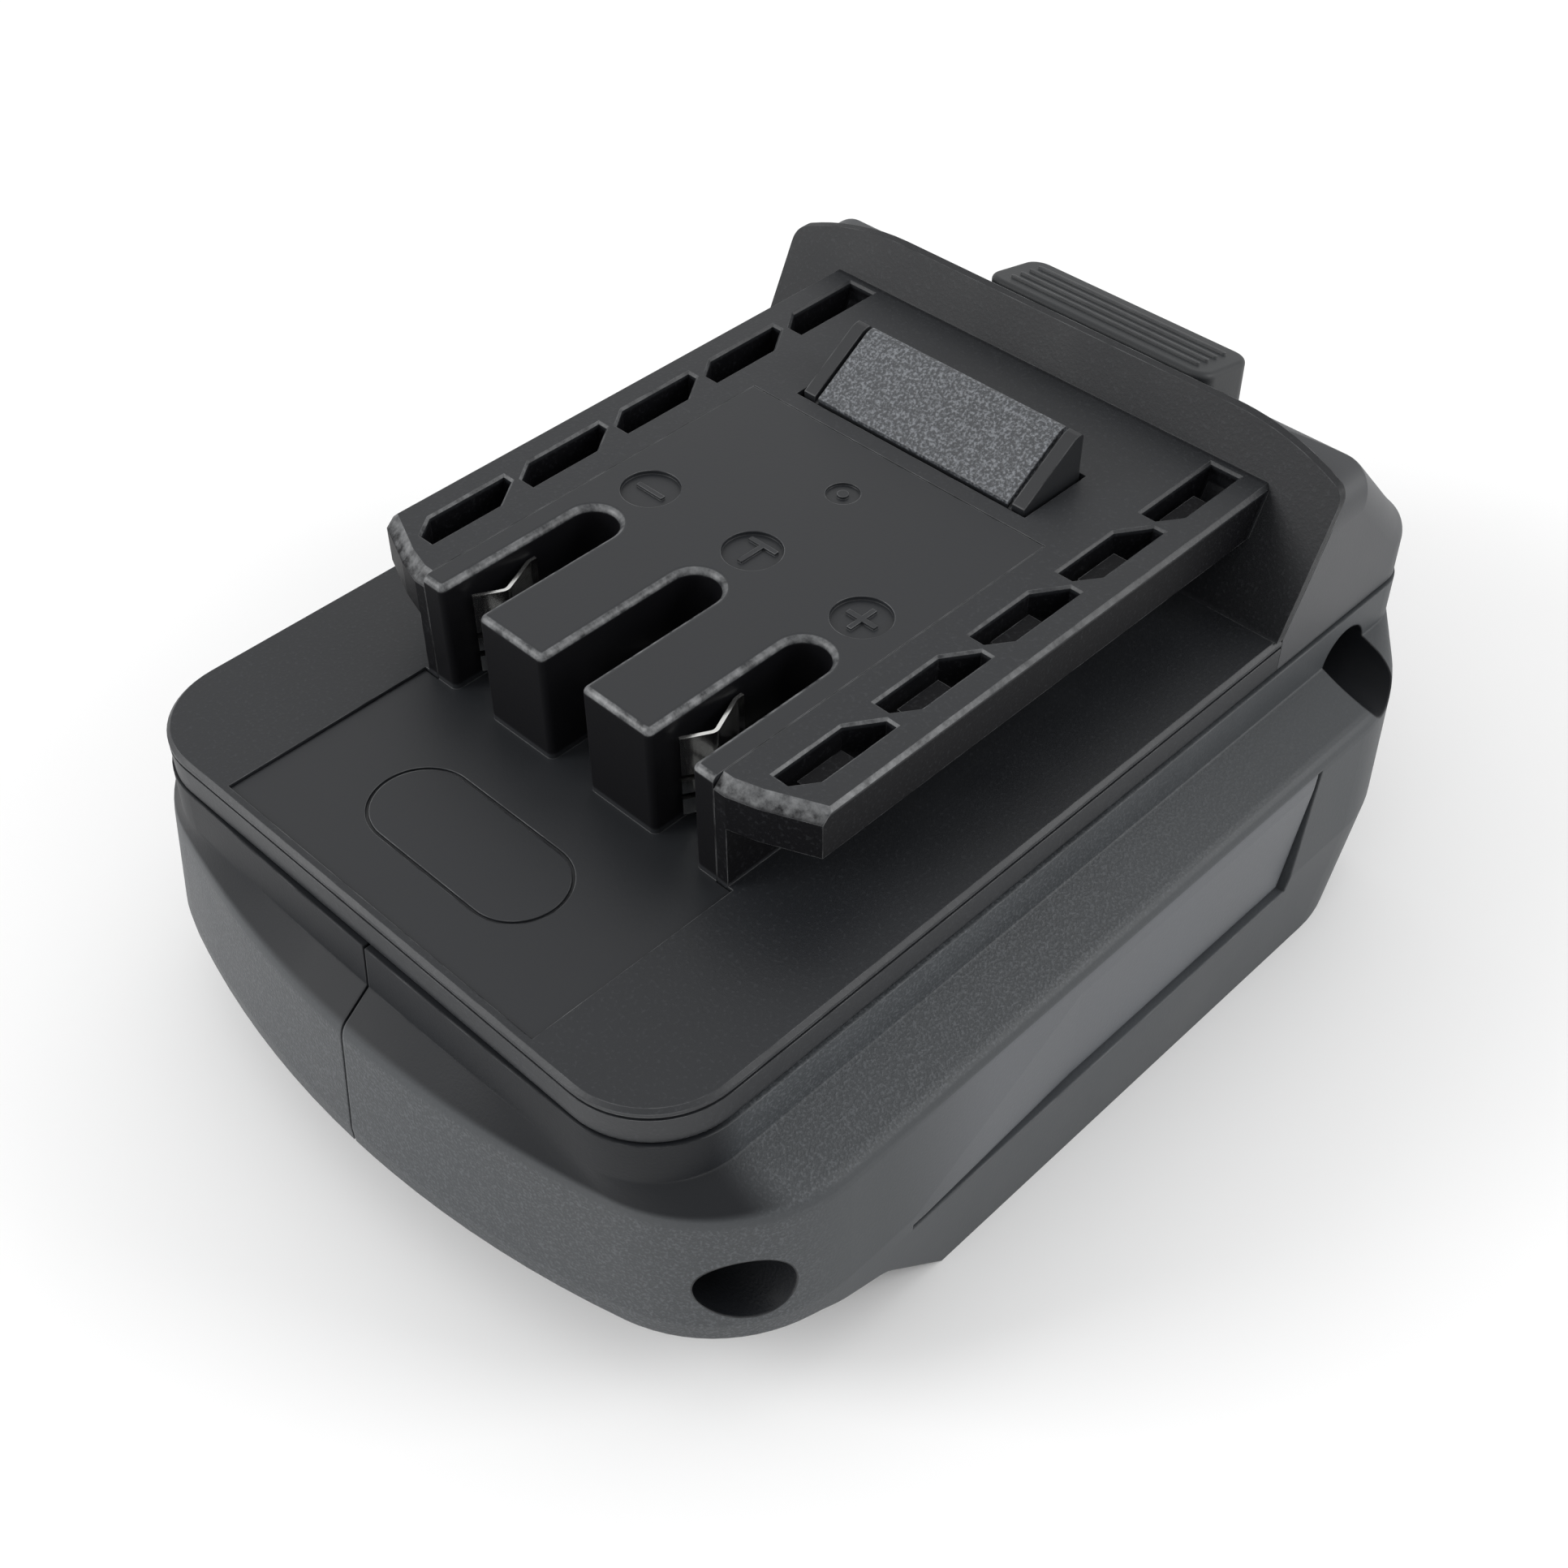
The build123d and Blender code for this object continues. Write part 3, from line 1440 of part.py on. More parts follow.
case_screw_planes = [
    Plane((screw_seat_x + screw_head_height, y, z), x_dir=(0, 1, 0), z_dir=(1, 0, 0)) for y, z in screw_axes
]
case_screws = screw_group(
    case_screw_planes, screw_head_diameter, screw_head_height, screw_diameter, screw_length
)
save(case_screws, "case_screws")

socket_screw_planes = [
    Plane((x, y, head_seat - socket_screw_head_height), x_dir=(1, 0, 0), z_dir=(0, 0, -1))
    for x, y in column_spots
]
socket_screws = screw_group(
    socket_screw_planes,
    socket_screw_head,
    socket_screw_head_height,
    socket_screw_diameter,
    socket_screw_length,
)
save(socket_screws, "socket_screws")

board_screw_planes = [Plane((x, y, board_top + board_screw_head_height)) for x, y in post_spots]
board_screws = screw_group(
    board_screw_planes,
    board_screw_head,
    board_screw_head_height,
    board_screw_diameter,
    board_screw_length,
)
save(board_screws, "board_screws")
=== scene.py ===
# %% [markdown]
# # A tool battery adapter
# This lesson dresses a finished CAD model of a slide-on battery adapter: moulded plastic, folded spring
# contacts and a few screws. The pieces could be modelled again in Blender, but the CAD model already has
# their true shape, so it is loaded first and stays where it is. Blender's lengths are metres. X runs across
# the adapter, Y from its front lip to its release button, and Z is up.

# %% Load the fixed frame
import json
import math
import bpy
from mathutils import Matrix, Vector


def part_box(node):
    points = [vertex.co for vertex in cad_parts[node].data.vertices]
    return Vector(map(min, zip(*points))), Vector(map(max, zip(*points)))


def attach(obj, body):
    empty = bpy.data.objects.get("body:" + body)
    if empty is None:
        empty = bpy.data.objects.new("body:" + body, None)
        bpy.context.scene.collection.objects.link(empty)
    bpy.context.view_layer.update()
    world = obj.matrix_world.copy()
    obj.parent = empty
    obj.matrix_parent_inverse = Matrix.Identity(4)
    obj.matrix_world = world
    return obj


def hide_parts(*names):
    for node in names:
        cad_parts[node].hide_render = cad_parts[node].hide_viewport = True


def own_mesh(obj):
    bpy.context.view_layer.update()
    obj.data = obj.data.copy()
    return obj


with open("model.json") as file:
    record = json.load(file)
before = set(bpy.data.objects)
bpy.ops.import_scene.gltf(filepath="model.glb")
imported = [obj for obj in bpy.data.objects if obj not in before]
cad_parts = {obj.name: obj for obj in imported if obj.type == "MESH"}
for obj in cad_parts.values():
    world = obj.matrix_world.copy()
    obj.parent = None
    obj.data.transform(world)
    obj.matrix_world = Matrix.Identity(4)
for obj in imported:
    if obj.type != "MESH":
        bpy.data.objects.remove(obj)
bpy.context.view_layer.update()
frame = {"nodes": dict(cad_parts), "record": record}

from types import SimpleNamespace
import bmesh
import bpy
from mathutils import Matrix, Vector

nodes = frame["nodes"]
scene = bpy.context.scene
MM = 0.001
print("CAD nodes:", len(nodes))

# %% [markdown]
# ## The camera's axes
# The photograph looks down on the adapter's front right corner. Matching corners of the object gave the
# camera's place, two angles and a small roll. A camera could be aimed with a Track To constraint, but that
# leaves out the roll, so its three axes are worked out from the angles.

# %% Axes of the camera
AZIMUTH = math.radians(44.84)
ELEVATION = math.radians(44.33)
ROLL = math.radians(-0.59)

back_axis = Vector(
    (math.sin(AZIMUTH) * math.cos(ELEVATION), -math.cos(AZIMUTH) * math.cos(ELEVATION), math.sin(ELEVATION))
)
right_axis = Vector((math.cos(AZIMUTH), math.sin(AZIMUTH), 0))
up_axis = back_axis.cross(right_axis)
rolled_right = right_axis * math.cos(ROLL) + up_axis * math.sin(ROLL)
rolled_up = up_axis * math.cos(ROLL) - right_axis * math.sin(ROLL)
print("camera looks along", [round(-v, 3) for v in back_axis])

# %% [markdown]
# ## The camera
# The lens and the width of the sensor give the field of view, and the three axes are the columns of the
# camera's matrix. Setting the matrix in one go is simpler than turning the camera about one axis after
# another.

# %% Camera at the photograph's angle
CAMERA_PLACE = Vector((0.11698, -0.11742, 0.18026))
LENS = 48.66
SENSOR = 36.0
NEAREST = 0.01

camera_data = bpy.data.cameras.new("camera")
camera_data.lens = LENS
camera_data.sensor_width = SENSOR
camera_data.sensor_fit = "HORIZONTAL"
camera_data.clip_start = NEAREST
camera = bpy.data.objects.new("camera", camera_data)
scene.collection.objects.link(camera)
turn = Matrix((rolled_right, rolled_up, back_axis)).transposed().to_4x4()
camera.matrix_world = Matrix.Translation(CAMERA_PLACE) @ turn
scene.camera = camera
print("camera at", [round(v, 3) for v in camera.location])

# %% [markdown]
# ## Helpers for shader nodes
# A finish is a small network of nodes. Placing and linking them one by one takes many lines, so one helper
# makes a node with its settings, and a socket's setting may be a plain value or the output of another node.


# %% Helpers for shader nodes
def feed(tree, socket, value):
    """Link another node's output to this socket, or give it a plain value."""
    if isinstance(value, bpy.types.NodeSocket):
        tree.links.new(value, socket)
    else:
        socket.default_value = value


def node(tree, kind, **settings):
    """A shader node with these settings, some of which are sockets."""
    made = tree.nodes.new(kind)
    for key, value in settings.items():
        if key in made.inputs:
            feed(tree, made.inputs[key], value)
        else:
            setattr(made, key, value)
    return made


def new_paint(name):
    """A new material, its node tree and its shader."""
    paint = bpy.data.materials.new(name)
    paint.use_nodes = True
    return paint, paint.node_tree, paint.node_tree.nodes["Principled BSDF"]


def coat(tree, shader, **settings):
    """Feed the shader's sockets, whose names have spaces where these have underscores."""
    for key, value in settings.items():
        feed(tree, shader.inputs[key.replace("_", " ")], value)


print("node helpers: feed, node, new_paint, coat")

# %% [markdown]
# ## The white ground
# The adapter stands on plain white paper. A curved backdrop would do as well, but a large flat sheet keeps
# the shadow under the object and fills the picture from this high angle. It is dull, so that it hardly
# mirrors.

# %% Floor
FLOOR_SIZE = 6.0
FLOOR_TONE = (0.93, 0.93, 0.93, 1)
FLOOR_ROUGHNESS = 0.9
FLOOR_SHINE = 0.1

floor_mesh = bpy.data.meshes.new("floor")
floor_bm = bmesh.new()
bmesh.ops.create_grid(floor_bm, x_segments=1, y_segments=1, size=FLOOR_SIZE / 2)
floor_bm.to_mesh(floor_mesh)
floor_bm.free()
floor = bpy.data.objects.new("floor", floor_mesh)
scene.collection.objects.link(floor)
floor_paint, floor_tree, floor_shader = new_paint("white_ground")
coat(
    floor_tree,
    floor_shader,
    Base_Color=FLOOR_TONE,
    Roughness=FLOOR_ROUGHNESS,
    Specular_IOR_Level=FLOOR_SHINE,
)
floor_mesh.materials.append(floor_paint)
print("floor", FLOOR_SIZE, "m")

# %% [markdown]
# ## The light from all round
# The photograph is a catalogue picture with soft light from every side. Dark plastic takes most of its tone
# from what it mirrors, so an even, pale world gives the tops their grey, while the fronts of the fingers,
# which mirror the dark tray, stay nearly black. A picture of a studio could light it too, but a plain tone
# is easier to control.

# %% World
WORLD_LIGHT = 0.86
WORLD_TONE = (1, 1, 1, 1)

world = bpy.data.worlds.new("studio")
scene.world = world
world.use_nodes = True
sky = world.node_tree.nodes["Background"]
sky.inputs["Color"].default_value = WORLD_TONE
sky.inputs["Strength"].default_value = WORLD_LIGHT
print("world light", WORLD_LIGHT)

# %% [markdown]
# ## Two lamps
# The right side and the front of the object are a little lighter than its other faces. Two area lamps do
# this, one behind on the right and one in front on the left. Area lamps are chosen over point lamps because
# their highlights on the edges are as soft as in the photograph.

# %% Lamps
LAMP_SIZE = 0.35
LAMP_TARGET = Vector((0, 0, 0.04))
LAMPS = {
    "right_rear": {"place": Vector((0.62, 0.45, 0.46)), "watts": 2.2},
    "front_left": {"place": Vector((-0.45, -0.62, 0.46)), "watts": 3.4},
}


def lamp(name, place, watts):
    """A square area lamp that faces the object."""
    data = bpy.data.lights.new(name, "AREA")
    data.shape = "SQUARE"
    data.size = LAMP_SIZE
    data.energy = watts
    one = bpy.data.objects.new(name, data)
    scene.collection.objects.link(one)
    one.location = place
    one.rotation_euler = (LAMP_TARGET - place).to_track_quat("-Z", "Y").to_euler()


for name, values in LAMPS.items():
    lamp(name, **values)
print("lamps", len(LAMPS))

# %% [markdown]
# ## Masks
# The adapter's finish isn't the same all over: some faces are coarser, darker or rubbed. Such places could
# be painted on a picture, but a mask that is worked out from the position is sharp at every distance. A
# mask is 1 inside its place and 0 outside, with a short fade, and masks are multiplied or added to form
# others.


# %% Helpers for masks
def fade(tree, value, empty, full):
    """A mask that is 0 where the value is at empty, and 1 where it is at full."""
    rising = empty < full
    ends = {
        "From Min": min(empty, full),
        "From Max": max(empty, full),
        "To Min": 0 if rising else 1,
        "To Max": 1 if rising else 0,
    }
    ramp = node(tree, "ShaderNodeMapRange", interpolation_type="SMOOTHSTEP", Value=value, **ends)
    return ramp.outputs["Result"]


def beside(tree, value, edge, fading):
    """A mask that fades beside an edge of the object. The edge and the fading are in mm."""
    empty, full = fading
    return fade(tree, value, (edge + empty) * MM, (edge + full) * MM)


def joined(tree, operation, masks):
    """The product or the sum of several masks."""
    result = masks[0]
    for mask in masks[1:]:
        join = node(tree, "ShaderNodeMath", operation=operation, use_clamp=True)
        tree.links.new(result, join.inputs[0])
        tree.links.new(mask, join.inputs[1])
        result = join.outputs[0]
    return result


def both(tree, *masks):
    """The place that these masks share."""
    return joined(tree, "MULTIPLY", masks)


def either(tree, *masks):
    """All the places of these masks, which don't overlap."""
    return joined(tree, "ADD", masks)


print("mask helpers: fade, beside, both, either")

# %% [markdown]
# ## Edges of the object
# The masks follow real edges: the tray's floor, the foot of the leaning back wall, and the crease round the
# case. These could be typed as positions, but they are worked out from the boxes of the CAD pieces and a
# few sizes of the moulding, so they can be read as sizes of the object. All of them are in mm.


# %% Edges of the object, in mm
def box_in_mm(name):
    """The lowest and the highest corner of a CAD piece, in mm."""
    low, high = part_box(name)
    return Vector(low) / MM, Vector(high) / MM


WALL_HEIGHT = 17.6
WALL_LEAN = 8.94
WALL_EDGE = 1.0
CREASE_DEPTH = 12.4

tray_high = box_in_mm("tray_cover")[1]
case_low, case_high = box_in_mm("right_case")
tray_floor = tray_high.z - WALL_HEIGHT
wall_foot = tray_high.y - WALL_EDGE - WALL_LEAN
crease = tray_floor - CREASE_DEPTH
rail_top = box_in_mm("terminal_insert")[1].z
case_front = case_low.y
print("tray floor", round(tray_floor, 1), "crease", round(crease, 1), "wall foot", round(wall_foot, 1), "mm")

# %% [markdown]
# ## Positions in a node tree
# A finish reads its position from Object coordinates, which stay on a piece when it moves. The adapter is
# the same on the left and on the right, so the distance from the middle plane serves both sides. Slanted
# edges are found by taking a share of the height off the position along the adapter.

# %% Positions in a node tree
WALL_FADE = (-0.3, -0.7)
wall_slant = WALL_LEAN / WALL_HEIGHT
wall_plane = wall_foot - wall_slant * tray_floor


def axes(tree, place):
    """The distance from the middle plane, the position along the adapter, and the height."""
    split = node(tree, "ShaderNodeSeparateXYZ", Vector=place)
    side = node(tree, "ShaderNodeMath", operation="ABSOLUTE")
    tree.links.new(split.outputs["X"], side.inputs[0])
    return SimpleNamespace(side=side.outputs[0], along=split.outputs["Y"], height=split.outputs["Z"])


def leaning(tree, at, slant):
    """The position along the adapter, measured from a plane that leans back by this share of the height."""
    result = node(tree, "ShaderNodeMath", operation="MULTIPLY_ADD")
    result.inputs[1].default_value = -slant
    tree.links.new(at.height, result.inputs[0])
    tree.links.new(at.along, result.inputs[2])
    return result.outputs[0]


def before_wall(tree, at):
    """Everything in front of the leaning back wall."""
    return beside(tree, leaning(tree, at, wall_slant), wall_plane, WALL_FADE)


print("the wall leans back by", round(math.degrees(math.atan(wall_slant)), 1), "degrees")

# %% [markdown]
# ## Painted shade on the upright faces of the rail block
# The sides of the rail block and its fingers look almost black in shade, and the back wall is a little
# darker than the tray. These faces get painted shade, a darker and duller colour. A second material on those
# faces would need the mesh to be cut up, so one mask picks them by height instead. The wall takes only a
# share of the painted shade.

# %% Mask for the painted shade on the upright faces
WALL_SHADE_SHARE = 0.45
RAIL_FOOT_FADE = (0.1, 0.5)
RAIL_TOP_FADE = (-0.4, -0.8)


def rail_side_shade(tree, place):
    """The upright faces of the rail block and its fingers, and to a lesser degree the back wall, which get
    painted shade.
    """
    at = axes(tree, place)
    rail = beside(tree, at.height, rail_top, RAIL_TOP_FADE)
    wall_or_rail_shade = node(tree, "ShaderNodeMix", Factor=before_wall(tree, at), A=WALL_SHADE_SHARE, B=rail)
    return both(tree, beside(tree, at.height, tray_floor, RAIL_FOOT_FADE), wall_or_rail_shade.outputs["Result"])


print("upright faces from", round(tray_floor, 1), "to", round(rail_top, 1), "mm")

# %% [markdown]
# ## Rubbed edges of the rail block
# The tool's rails rub the sloping edge round the top of the block, most of all near the front. The edge can
# be found by its height together with the tilt of its faces, which keeps the flat top and the upright sides
# out.

# %% Mask for the rubbed edges
CROWN_LOW_FADE = (-1.4, -1.0)
CROWN_HIGH_FADE = (0.3, 0.1)
CROWN_REAR_FADE = (6.5, -63.5)
UPRIGHT_TILT = (0.15, 0.35)
FLAT_TILT = (0.985, 0.93)


def rail_crown(tree, place, normal):
    """The sloping edges round the rail block's top, which the tool rubs when it slides on."""
    at = axes(tree, place)
    tilt = node(tree, "ShaderNodeSeparateXYZ", Vector=normal).outputs["Z"]
    return both(
        tree,
        before_wall(tree, at),
        beside(tree, at.along, wall_foot, CROWN_REAR_FADE),
        beside(tree, at.height, rail_top, CROWN_LOW_FADE),
        beside(tree, at.height, rail_top, CROWN_HIGH_FADE),
        fade(tree, tilt, *UPRIGHT_TILT),
        fade(tree, tilt, *FLAT_TILT),
    )


print("rubbed edges from", round(rail_top + CROWN_LOW_FADE[0], 1), "mm up")

# %% [markdown]
# ## Sunk side panels
# Each side of the case has a sunk panel with a smoother and lighter finish. Its rear end is slanted, and
# towards the front it runs out into the coarse side. The mask uses the panel's own corners, so the finish
# ends at its groove.

# %% Mask for the side panels
PANEL_LOW_DEPTH = 28.0
PANEL_HIGH_DEPTH = 13.4
PANEL_LOW_GAP = 3.2
PANEL_HIGH_RUN = 1.0
PANEL_FACE_FADE = (-1.7, -1.4)
PANEL_FRONT_FADE = (25.5, 43.5)
PANEL_REAR_FADE = (0.05, -0.25)
PANEL_LOW_FADE = (-0.1, 0.1)
PANEL_HIGH_FADE = (0.1, -0.1)

panel_low = tray_floor - PANEL_LOW_DEPTH
panel_high = tray_floor - PANEL_HIGH_DEPTH
panel_slant = (PANEL_LOW_GAP + PANEL_HIGH_RUN) / (panel_high - panel_low)
panel_rear = wall_foot - PANEL_LOW_GAP - panel_slant * panel_low


def panel_zone(tree, place):
    """The sunk side panels, which fade out towards the front."""
    at = axes(tree, place)
    return both(
        tree,
        beside(tree, at.side, case_high.x, PANEL_FACE_FADE),
        beside(tree, at.along, case_front, PANEL_FRONT_FADE),
        beside(tree, leaning(tree, at, panel_slant), panel_rear, PANEL_REAR_FADE),
        beside(tree, at.height, panel_low, PANEL_LOW_FADE),
        beside(tree, at.height, panel_high, PANEL_HIGH_FADE),
    )


print("panels from", round(panel_low, 1), "to", round(panel_high, 1), "mm")

# %% [markdown]
# ## Coarse shoulders and front
# The mould was etched more deeply on the shoulders beside the tray and on the front below the crease, so
# these places have a deeper bump and more painted glints, light specks of colour on the grain. Their ends
# are soft, which a wide fade shows better than the edge of a separate material.

# %% Mask for the coarse places
SHOULDER_SIDE_FADE = (-2.0, 0.0)
SHOULDER_FRONT_FADE = (11.5, 17.5)
SHOULDER_REAR_FADE = (11.5, -48.5)
SHOULDER_LOW_FADE = (-0.4, 0.3)
FRONT_REAR_FADE = (21.5, 13.5)
FRONT_HIGH_FADE = (-0.4, -1.2)


def coarse_zone(tree, place):
    """The coarse shoulders beside the tray, and the front below the crease, with deeper bumps and painted
    glints.
    """
    at = axes(tree, place)
    shoulders = both(
        tree,
        beside(tree, at.side, tray_high.x, SHOULDER_SIDE_FADE),
        beside(tree, at.along, case_front, SHOULDER_FRONT_FADE),
        beside(tree, at.along, wall_foot, SHOULDER_REAR_FADE),
        beside(tree, at.height, crease, SHOULDER_LOW_FADE),
    )
    front = both(
        tree,
        beside(tree, at.along, case_front, FRONT_REAR_FADE),
        beside(tree, at.height, crease, FRONT_HIGH_FADE),
    )
    return either(tree, shoulders, front)


print("coarse front below", round(crease + FRONT_HIGH_FADE[0], 1), "mm")

# %% [markdown]
# ## Painted shade on the case
# Two places look nearly black in shade: the steep band under the tray's front and the inside of the two
# round screw recesses. More shadow would need less light on the whole object, so painted shade, a darker and
# duller colour, is used there. The recesses lie round the screws, whose box gives both middles. They are on
# the right side only, but their masks run across the whole case, so two spots on the left side get painted
# shade as well. A mask for the right half would keep them off it.

# %% Mask for the painted shade
BAND_LOW_FADE = (-0.1, 0.7)
BAND_REAR_FADE = (17.5, 12.5)
SCREW_HEAD_RADIUS = 2.9
RECESS_RADIUS = 3.8
RECESS_FADE = (0.15, 0.04)
LENGTHWISE = (0, 1, 1)

screws_low, screws_high = box_in_mm("case_screws")
front_screw = (screws_low.y + SCREW_HEAD_RADIUS, screws_low.z + SCREW_HEAD_RADIUS)
rear_screw = (screws_high.y - SCREW_HEAD_RADIUS, screws_high.z - SCREW_HEAD_RADIUS)


def recess(tree, place, middle):
    """A round bar across the case, which holds the painted shade inside a screw recess."""
    along, height = middle
    flat = node(tree, "ShaderNodeVectorMath", operation="MULTIPLY")
    flat.inputs[1].default_value = LENGTHWISE
    tree.links.new(place, flat.inputs[0])
    apart = node(tree, "ShaderNodeVectorMath", operation="DISTANCE")
    apart.inputs[1].default_value = (0, along * MM, height * MM)
    tree.links.new(flat.outputs[0], apart.inputs[0])
    return beside(tree, apart.outputs["Value"], RECESS_RADIUS, RECESS_FADE)


def shade_zone(tree, place):
    """The painted shade: the steep front band under the tray and the screw recesses, which look nearly
    black.
    """
    at = axes(tree, place)
    band = both(
        tree,
        beside(tree, at.height, crease, BAND_LOW_FADE),
        beside(tree, at.along, case_front, BAND_REAR_FADE),
    )
    return either(tree, band, recess(tree, place, front_screw), recess(tree, place, rear_screw))


print("screw recesses at", [round(v, 1) for v in front_screw + rear_screw], "mm")

# %% [markdown]
# ## The grained face of the hook
# The hook has a coarse face with painted glints between two slits, while its narrow ends and the slider
# below are smooth. The face could be a piece of its own, but the real one is moulded in one with the slider,
# so a mask that ends at the slits and at the top of the rail block is closer to it.

# %% Mask for the hook's face
SLIT_PLACE = 13.3
SLIT_FADE = (-0.1, -0.3)
HOOK_FOOT_FADE = (-0.2, 0.1)


def hook_zone(tree, place):
    """The middle of the hook, between its slits."""
    at = axes(tree, place)
    return both(
        tree,
        beside(tree, at.side, SLIT_PLACE, SLIT_FADE),
        beside(tree, at.height, rail_top, HOOK_FOOT_FADE),
    )


print("grained face", round(2 * SLIT_PLACE, 1), "mm wide")

# %% [markdown]
# ## Tones and mixtures
# Even plain black plastic isn't one flat colour: handling and flow in the mould leave broad, faint
# differences. A second colour could be painted over the first, but a large noise that turns each colour
# into a pair of close tones does it evenly. The helpers here also mix two colours, or two numbers, by a
# mask.

# %% Helpers for tones
BROAD_SCALE = 45.0
BROAD_DETAIL = 3.0
BROAD_ENDS = (0.3, 0.7)
BLOTCH = 0.12


def noise(tree, place, scale, detail, roughness=0.5):
    """A noise with this many lumps in a metre."""
    made = node(tree, "ShaderNodeTexNoise", Vector=place, Scale=scale, Detail=detail, Roughness=roughness)
    return made.outputs["Fac"]


def spread(tree, value, ends, low=0.0, high=1.0):
    """A number from low to high that follows a value between these ends."""
    limits = {"From Min": ends[0], "From Max": ends[1], "To Min": low, "To Max": high}
    return node(tree, "ShaderNodeMapRange", Value=value, **limits).outputs["Result"]


def inside(tree, mask, outer, inner):
    """A number that is outer away from a mask and inner inside it."""
    return spread(tree, mask, (0, 1), outer, inner)


def mixed(tree, mask, outer, inner):
    """A colour that is outer away from a mask and inner inside it."""
    return node(tree, "ShaderNodeMix", data_type="RGBA", Factor=mask, A=outer, B=inner).outputs["Result"]


def toned(tree, broad, colour):
    """A colour in two close tones that follow the broad noise."""
    tone = node(tree, "ShaderNodeValToRGB", Fac=broad)
    low, high = tone.color_ramp.elements
    low.position, high.position = BROAD_ENDS
    low.color = tuple(c * (1 - BLOTCH) for c in colour) + (1,)
    high.color = tuple(c * (1 + BLOTCH) for c in colour) + (1,)
    return tone.outputs["Color"]


print("tones differ by", BLOTCH, "to each side")

# %% [markdown]
# ## Worn edges
# Corners that stand free lose their grain and look lighter. They could be painted by hand, but the Bevel
# node finds them: near a corner its rounded normal leaves the true one. Corners inside a groove or between
# two faces stay fresh, and Ambient Occlusion tells them apart, because they are shut in. A noise breaks the
# line up into patches.

# %% Mask for worn edges
EDGE_SAMPLES = 6
CORNER_ENDS = (0.98, 0.82)
PATCH_SCALE = 320.0
PATCH_DETAIL = 4.0
PATCH_ENDS = (0.35, 0.62)
SHUT_IN_REACH = 0.9
SHUT_IN_ENDS = (0.62, 0.95)


def worn_edges(tree, place, rounded, straight, wear):
    """The free edges, rubbed in patches. Wear is the most that shows."""
    alike = node(tree, "ShaderNodeVectorMath", operation="DOT_PRODUCT")
    tree.links.new(rounded, alike.inputs[0])
    tree.links.new(straight, alike.inputs[1])
    corner = spread(tree, alike.outputs["Value"], CORNER_ENDS, high=wear)
    patches = spread(tree, noise(tree, place, PATCH_SCALE, PATCH_DETAIL), PATCH_ENDS)
    shut_in = node(tree, "ShaderNodeAmbientOcclusion", samples=EDGE_SAMPLES, Distance=SHUT_IN_REACH * MM)
    return both(tree, corner, patches, spread(tree, shut_in.outputs["AO"], SHUT_IN_ENDS))


print("edges look rubbed where they are free for", SHUT_IN_REACH, "mm")

# %% [markdown]
# ## Scuffs
# On the rubbed edges of the rail block the wear is denser and made of small flecks. The Bevel node can't
# tell these edges from the others, so a finer and rougher noise is kept in its place by their own mask.

# %% Mask for scuffs
SCUFF_SCALE = 750.0
SCUFF_DETAIL = 4.0
SCUFF_ROUGHNESS = 0.65
SCUFF_ENDS = (0.34, 0.74)


def scuffs(tree, place, band, wear):
    """Small flecks inside a band."""
    flecks = noise(tree, place, SCUFF_SCALE, SCUFF_DETAIL, SCUFF_ROUGHNESS)
    return both(tree, inside(tree, band, 0, wear), spread(tree, flecks, SCUFF_ENDS))


print("scuffs", SCUFF_SCALE, "to a metre")

# %% [markdown]
# ## Moulded plastic
# The housing is injection moulded, and its mould was etched, which leaves a fine grain. The grain could be
# an image of a texture, but a noise at the size of the real grain has no seams and no limit of sharpness.
# It gives the bump, and its peaks get small specks of a light colour, which are painted glints. A finish may
# also have a zone with its own colour and gloss, a coarse place, a crown of scuffs and painted shade.

# %% Moulded plastic
FINE_DETAIL = 2.0
FINE_ROUGHNESS = 0.6
BROAD_ROUGHNESS = 0.55
# Painted glints: light specks of this colour on the peaks of the grain
PAINTED_GLINT_COLOUR = (0.475, 0.5, 0.54, 1)
WORN_COLOUR = (0.294, 0.3, 0.306, 1)
SCUFF_COLOUR = (0.3332, 0.34, 0.3468, 1)
SHINE = 0.5
GLOSS_RANGE = 0.05
paints = {}


def uneven(tree, broad, roughness):
    """A roughness that varies a little with the broad noise."""
    return spread(tree, broad, BROAD_ENDS, roughness - GLOSS_RANGE, roughness + GLOSS_RANGE)


def painted_glints(tree, fine, peaks, glint_paint, coarse, coarse_mask):
    """How much of the painted glint colour shows on the peaks of the grain."""
    peak = fade(tree, fine, *peaks)
    if coarse:
        return both(tree, peak, inside(tree, coarse_mask, glint_paint, coarse["glint_paint"]))
    return spread(tree, peak, (0, 1), high=glint_paint)


